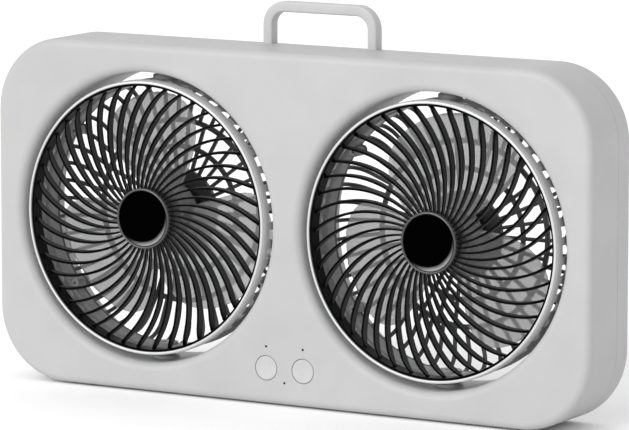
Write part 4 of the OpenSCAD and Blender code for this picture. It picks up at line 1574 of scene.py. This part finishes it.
    def fan(self) -> None:
        """Builds the fan: three wide blades on a hub that covers the motor."""
        form = Form()
        across, out = 18, 20
        grid = bmesh.ops.create_grid(form.bm, x_segments=out, y_segments=across, size=0.5)["verts"]
        for vert in grid:
            vert.co = self.blade_point(1.0 - (0.5 - vert.co.x) ** self.blade_bunch, vert.co.y)
        bmesh.ops.recalc_face_normals(form.bm, faces=form.bm.faces)
        bmesh.ops.translate(form.bm, vec=(0.0, 0.0, self.blade_wall / 2), verts=form.bm.verts)
        bmesh.ops.solidify(form.bm, geom=form.bm.faces[:], thickness=self.blade_wall)
        bmesh.ops.recalc_face_normals(form.bm, faces=form.bm.faces)
        form.bevel(form.sharp(), self.blade_edge, 2)
        form.repeat(self.blades)
        phase = Matrix.Rotation(math.radians(self.blade_phases[self.side]), 4, "Z")
        bmesh.ops.transform(form.bm, matrix=phase, verts=form.bm.verts)
        hub, edge, wall = self.fan_hub, self.fan_hub_edge, self.fan_hub_wall
        front, back = self.fan_hub_ends
        bore, sleeve, end = self.fan_sleeve
        profile = [(bore, front), (hub - edge, front)] + arc((hub - edge, front - edge), edge, 90.0, 0.0, 5)
        profile += [(hub, back), (hub - wall, back), (hub - wall, front - wall), (sleeve, front - wall)]
        profile += [(sleeve, end), (bore, end)]
        form.turned(profile, 96, closed=True)
        self.set(form, "blades", self.finishes.blade, "fan_plastic", "fan", turning=True)

    def build(self) -> None:
        """Builds the whole head."""
        self.trim_ring()
        self.grille()
        self.hub()
        self.drum()
        self.guard()
        self.fan()


@dataclass
class InnerParts:
    """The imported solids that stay, with better finishes."""

    nodes: dict[str, bpy.types.Object]
    finishes: Finishes

    def dress(self, finish: Finish, *names: str) -> None:
        """Gives nodes a finish.

        Args:
            finish: The finish.
            names: The nodes' names.
        """
        for name in names:
            for place in self.nodes[name].material_slots:
                place.material = finish.material()
            LOG.info("%s: %s", name, finish.name)

    def build(self) -> None:
        """Dresses every node that nothing replaces."""
        both = [f"{side.word}_{{}}" for side in Side]
        looks = self.finishes
        self.dress(looks.steel, "handle_screws", "case_screws", "board_screws")
        self.dress(looks.steel, *[b.format(n) for b in both for n in ("guard_screws", "motor_screws")])
        self.dress(looks.pin, *[b.format(n) for b in both for n in ("pivot_pins", "motor_shaft")])
        self.dress(looks.bush, *[b.format("pivot_bushes") for b in both])
        self.dress(looks.motor, *[b.format("motor") for b in both])
        self.dress(looks.black, "battery_tray", *[b.format("switch") for b in both])
        self.dress(looks.light, "indicator_lights")
        self.dress(looks.board, "control_board", "port_board")
        self.dress(looks.cell, "battery_cells")
        self.dress(looks.port, "charging_port")


@dataclass
class Studio:
    """The pale floor, the soft lights and the camera."""

    place: HeadPlace
    azimuth: float = 30.58
    elevation: float = 8.3456
    distance: float = 3.22178
    focal_pixels: float = 5033.05
    principal: tuple[float, float] = (284.27, 230.48)
    frame: tuple[int, int] = (629, 430)
    sensor: float = 36.0
    view_end: float = 40.0
    floor_white: float = 0.96
    floor_half: float = 14.0
    floor_cell: float = 600.0
    world_strength: float = 0.96
    sun_from: Point = (-0.112, -0.344, 0.172)
    sun_strength: float = 1.95
    sun_angle: float = 45.0

    def camera(self) -> None:
        """Sets the camera at the photograph's viewing angle."""
        data = bpy.data.cameras.new("camera")
        width, height = self.frame
        data.sensor_width = self.sensor
        data.lens = self.focal_pixels * self.sensor / width
        data.shift_x = (width / 2 - self.principal[0]) / width
        data.shift_y = (self.principal[1] - height / 2) / width
        data.clip_end = self.view_end
        turn, tilt = math.radians(self.azimuth), math.radians(self.elevation)
        back = Vector((math.sin(turn) * math.cos(tilt), -math.cos(turn) * math.cos(tilt), math.sin(tilt)))
        camera = placed("camera", data)
        camera.location = Vector((0.0, self.place.front, self.place.up)) * MM + back * self.distance
        camera.rotation_euler = (-back).to_track_quat("-Z", "Y").to_euler()
        bpy.context.scene.camera = camera

    def key(self) -> None:
        """Adds the wide, soft key light from the front left."""
        data = bpy.data.lights.new("key", "SUN")
        data.energy = self.sun_strength
        data.angle = math.radians(self.sun_angle)
        lamp = placed("key", data)
        lamp.location = self.sun_from
        lamp.rotation_euler = (-Vector(self.sun_from)).to_track_quat("-Z", "Y").to_euler()

    def floor(self) -> None:
        """Lays the pale floor."""
        bm = bmesh.new()
        bmesh.ops.create_grid(bm, x_segments=8, y_segments=8, size=self.floor_half)
        mesh = bpy.data.meshes.new("floor")
        bm.to_mesh(mesh)
        bm.free()
        graph = Graph("pale_floor")
        cloud = graph.noise(graph.place(), self.floor_cell, 2.0, 0.5).ramp(0.3, 0.7)
        white = (self.floor_white,) * 3
        shade = graph.blend(cloud, scaled(white, 0.99), white)
        mesh.materials.append(graph.close({"Base Color": shade, "Roughness": 0.9, "Specular IOR Level": 0.1}))
        floor = placed("floor", mesh)

    def build(self) -> None:
        """Sets up the whole studio."""
        self.camera()
        self.floor()
        world = bpy.data.worlds.new("studio")
        bpy.context.scene.world = world
        world.use_nodes = True
        light = world.node_tree.nodes["Background"].inputs
        light["Color"].default_value = (1.0, 1.0, 1.0, 1.0)
        light["Strength"].default_value = self.world_strength
        self.key()
        bpy.context.scene.view_settings.view_transform = "Standard"


def main() -> None:
    """Builds the studio and every sub-assembly of the fan."""
    logging.basicConfig(level=logging.INFO, format="%(message)s")
    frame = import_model()
    place = HeadPlace()
    finishes = Finishes()
    Studio(place).build()
    Housing(place, finishes).build()
    for side in Side:
        own = HeadFinishes(side.word, place.centre(side))
        FanHead(side, place, finishes, own).build()
    InnerParts(frame["nodes"], finishes).build()


if __name__ == "__main__":
    main()
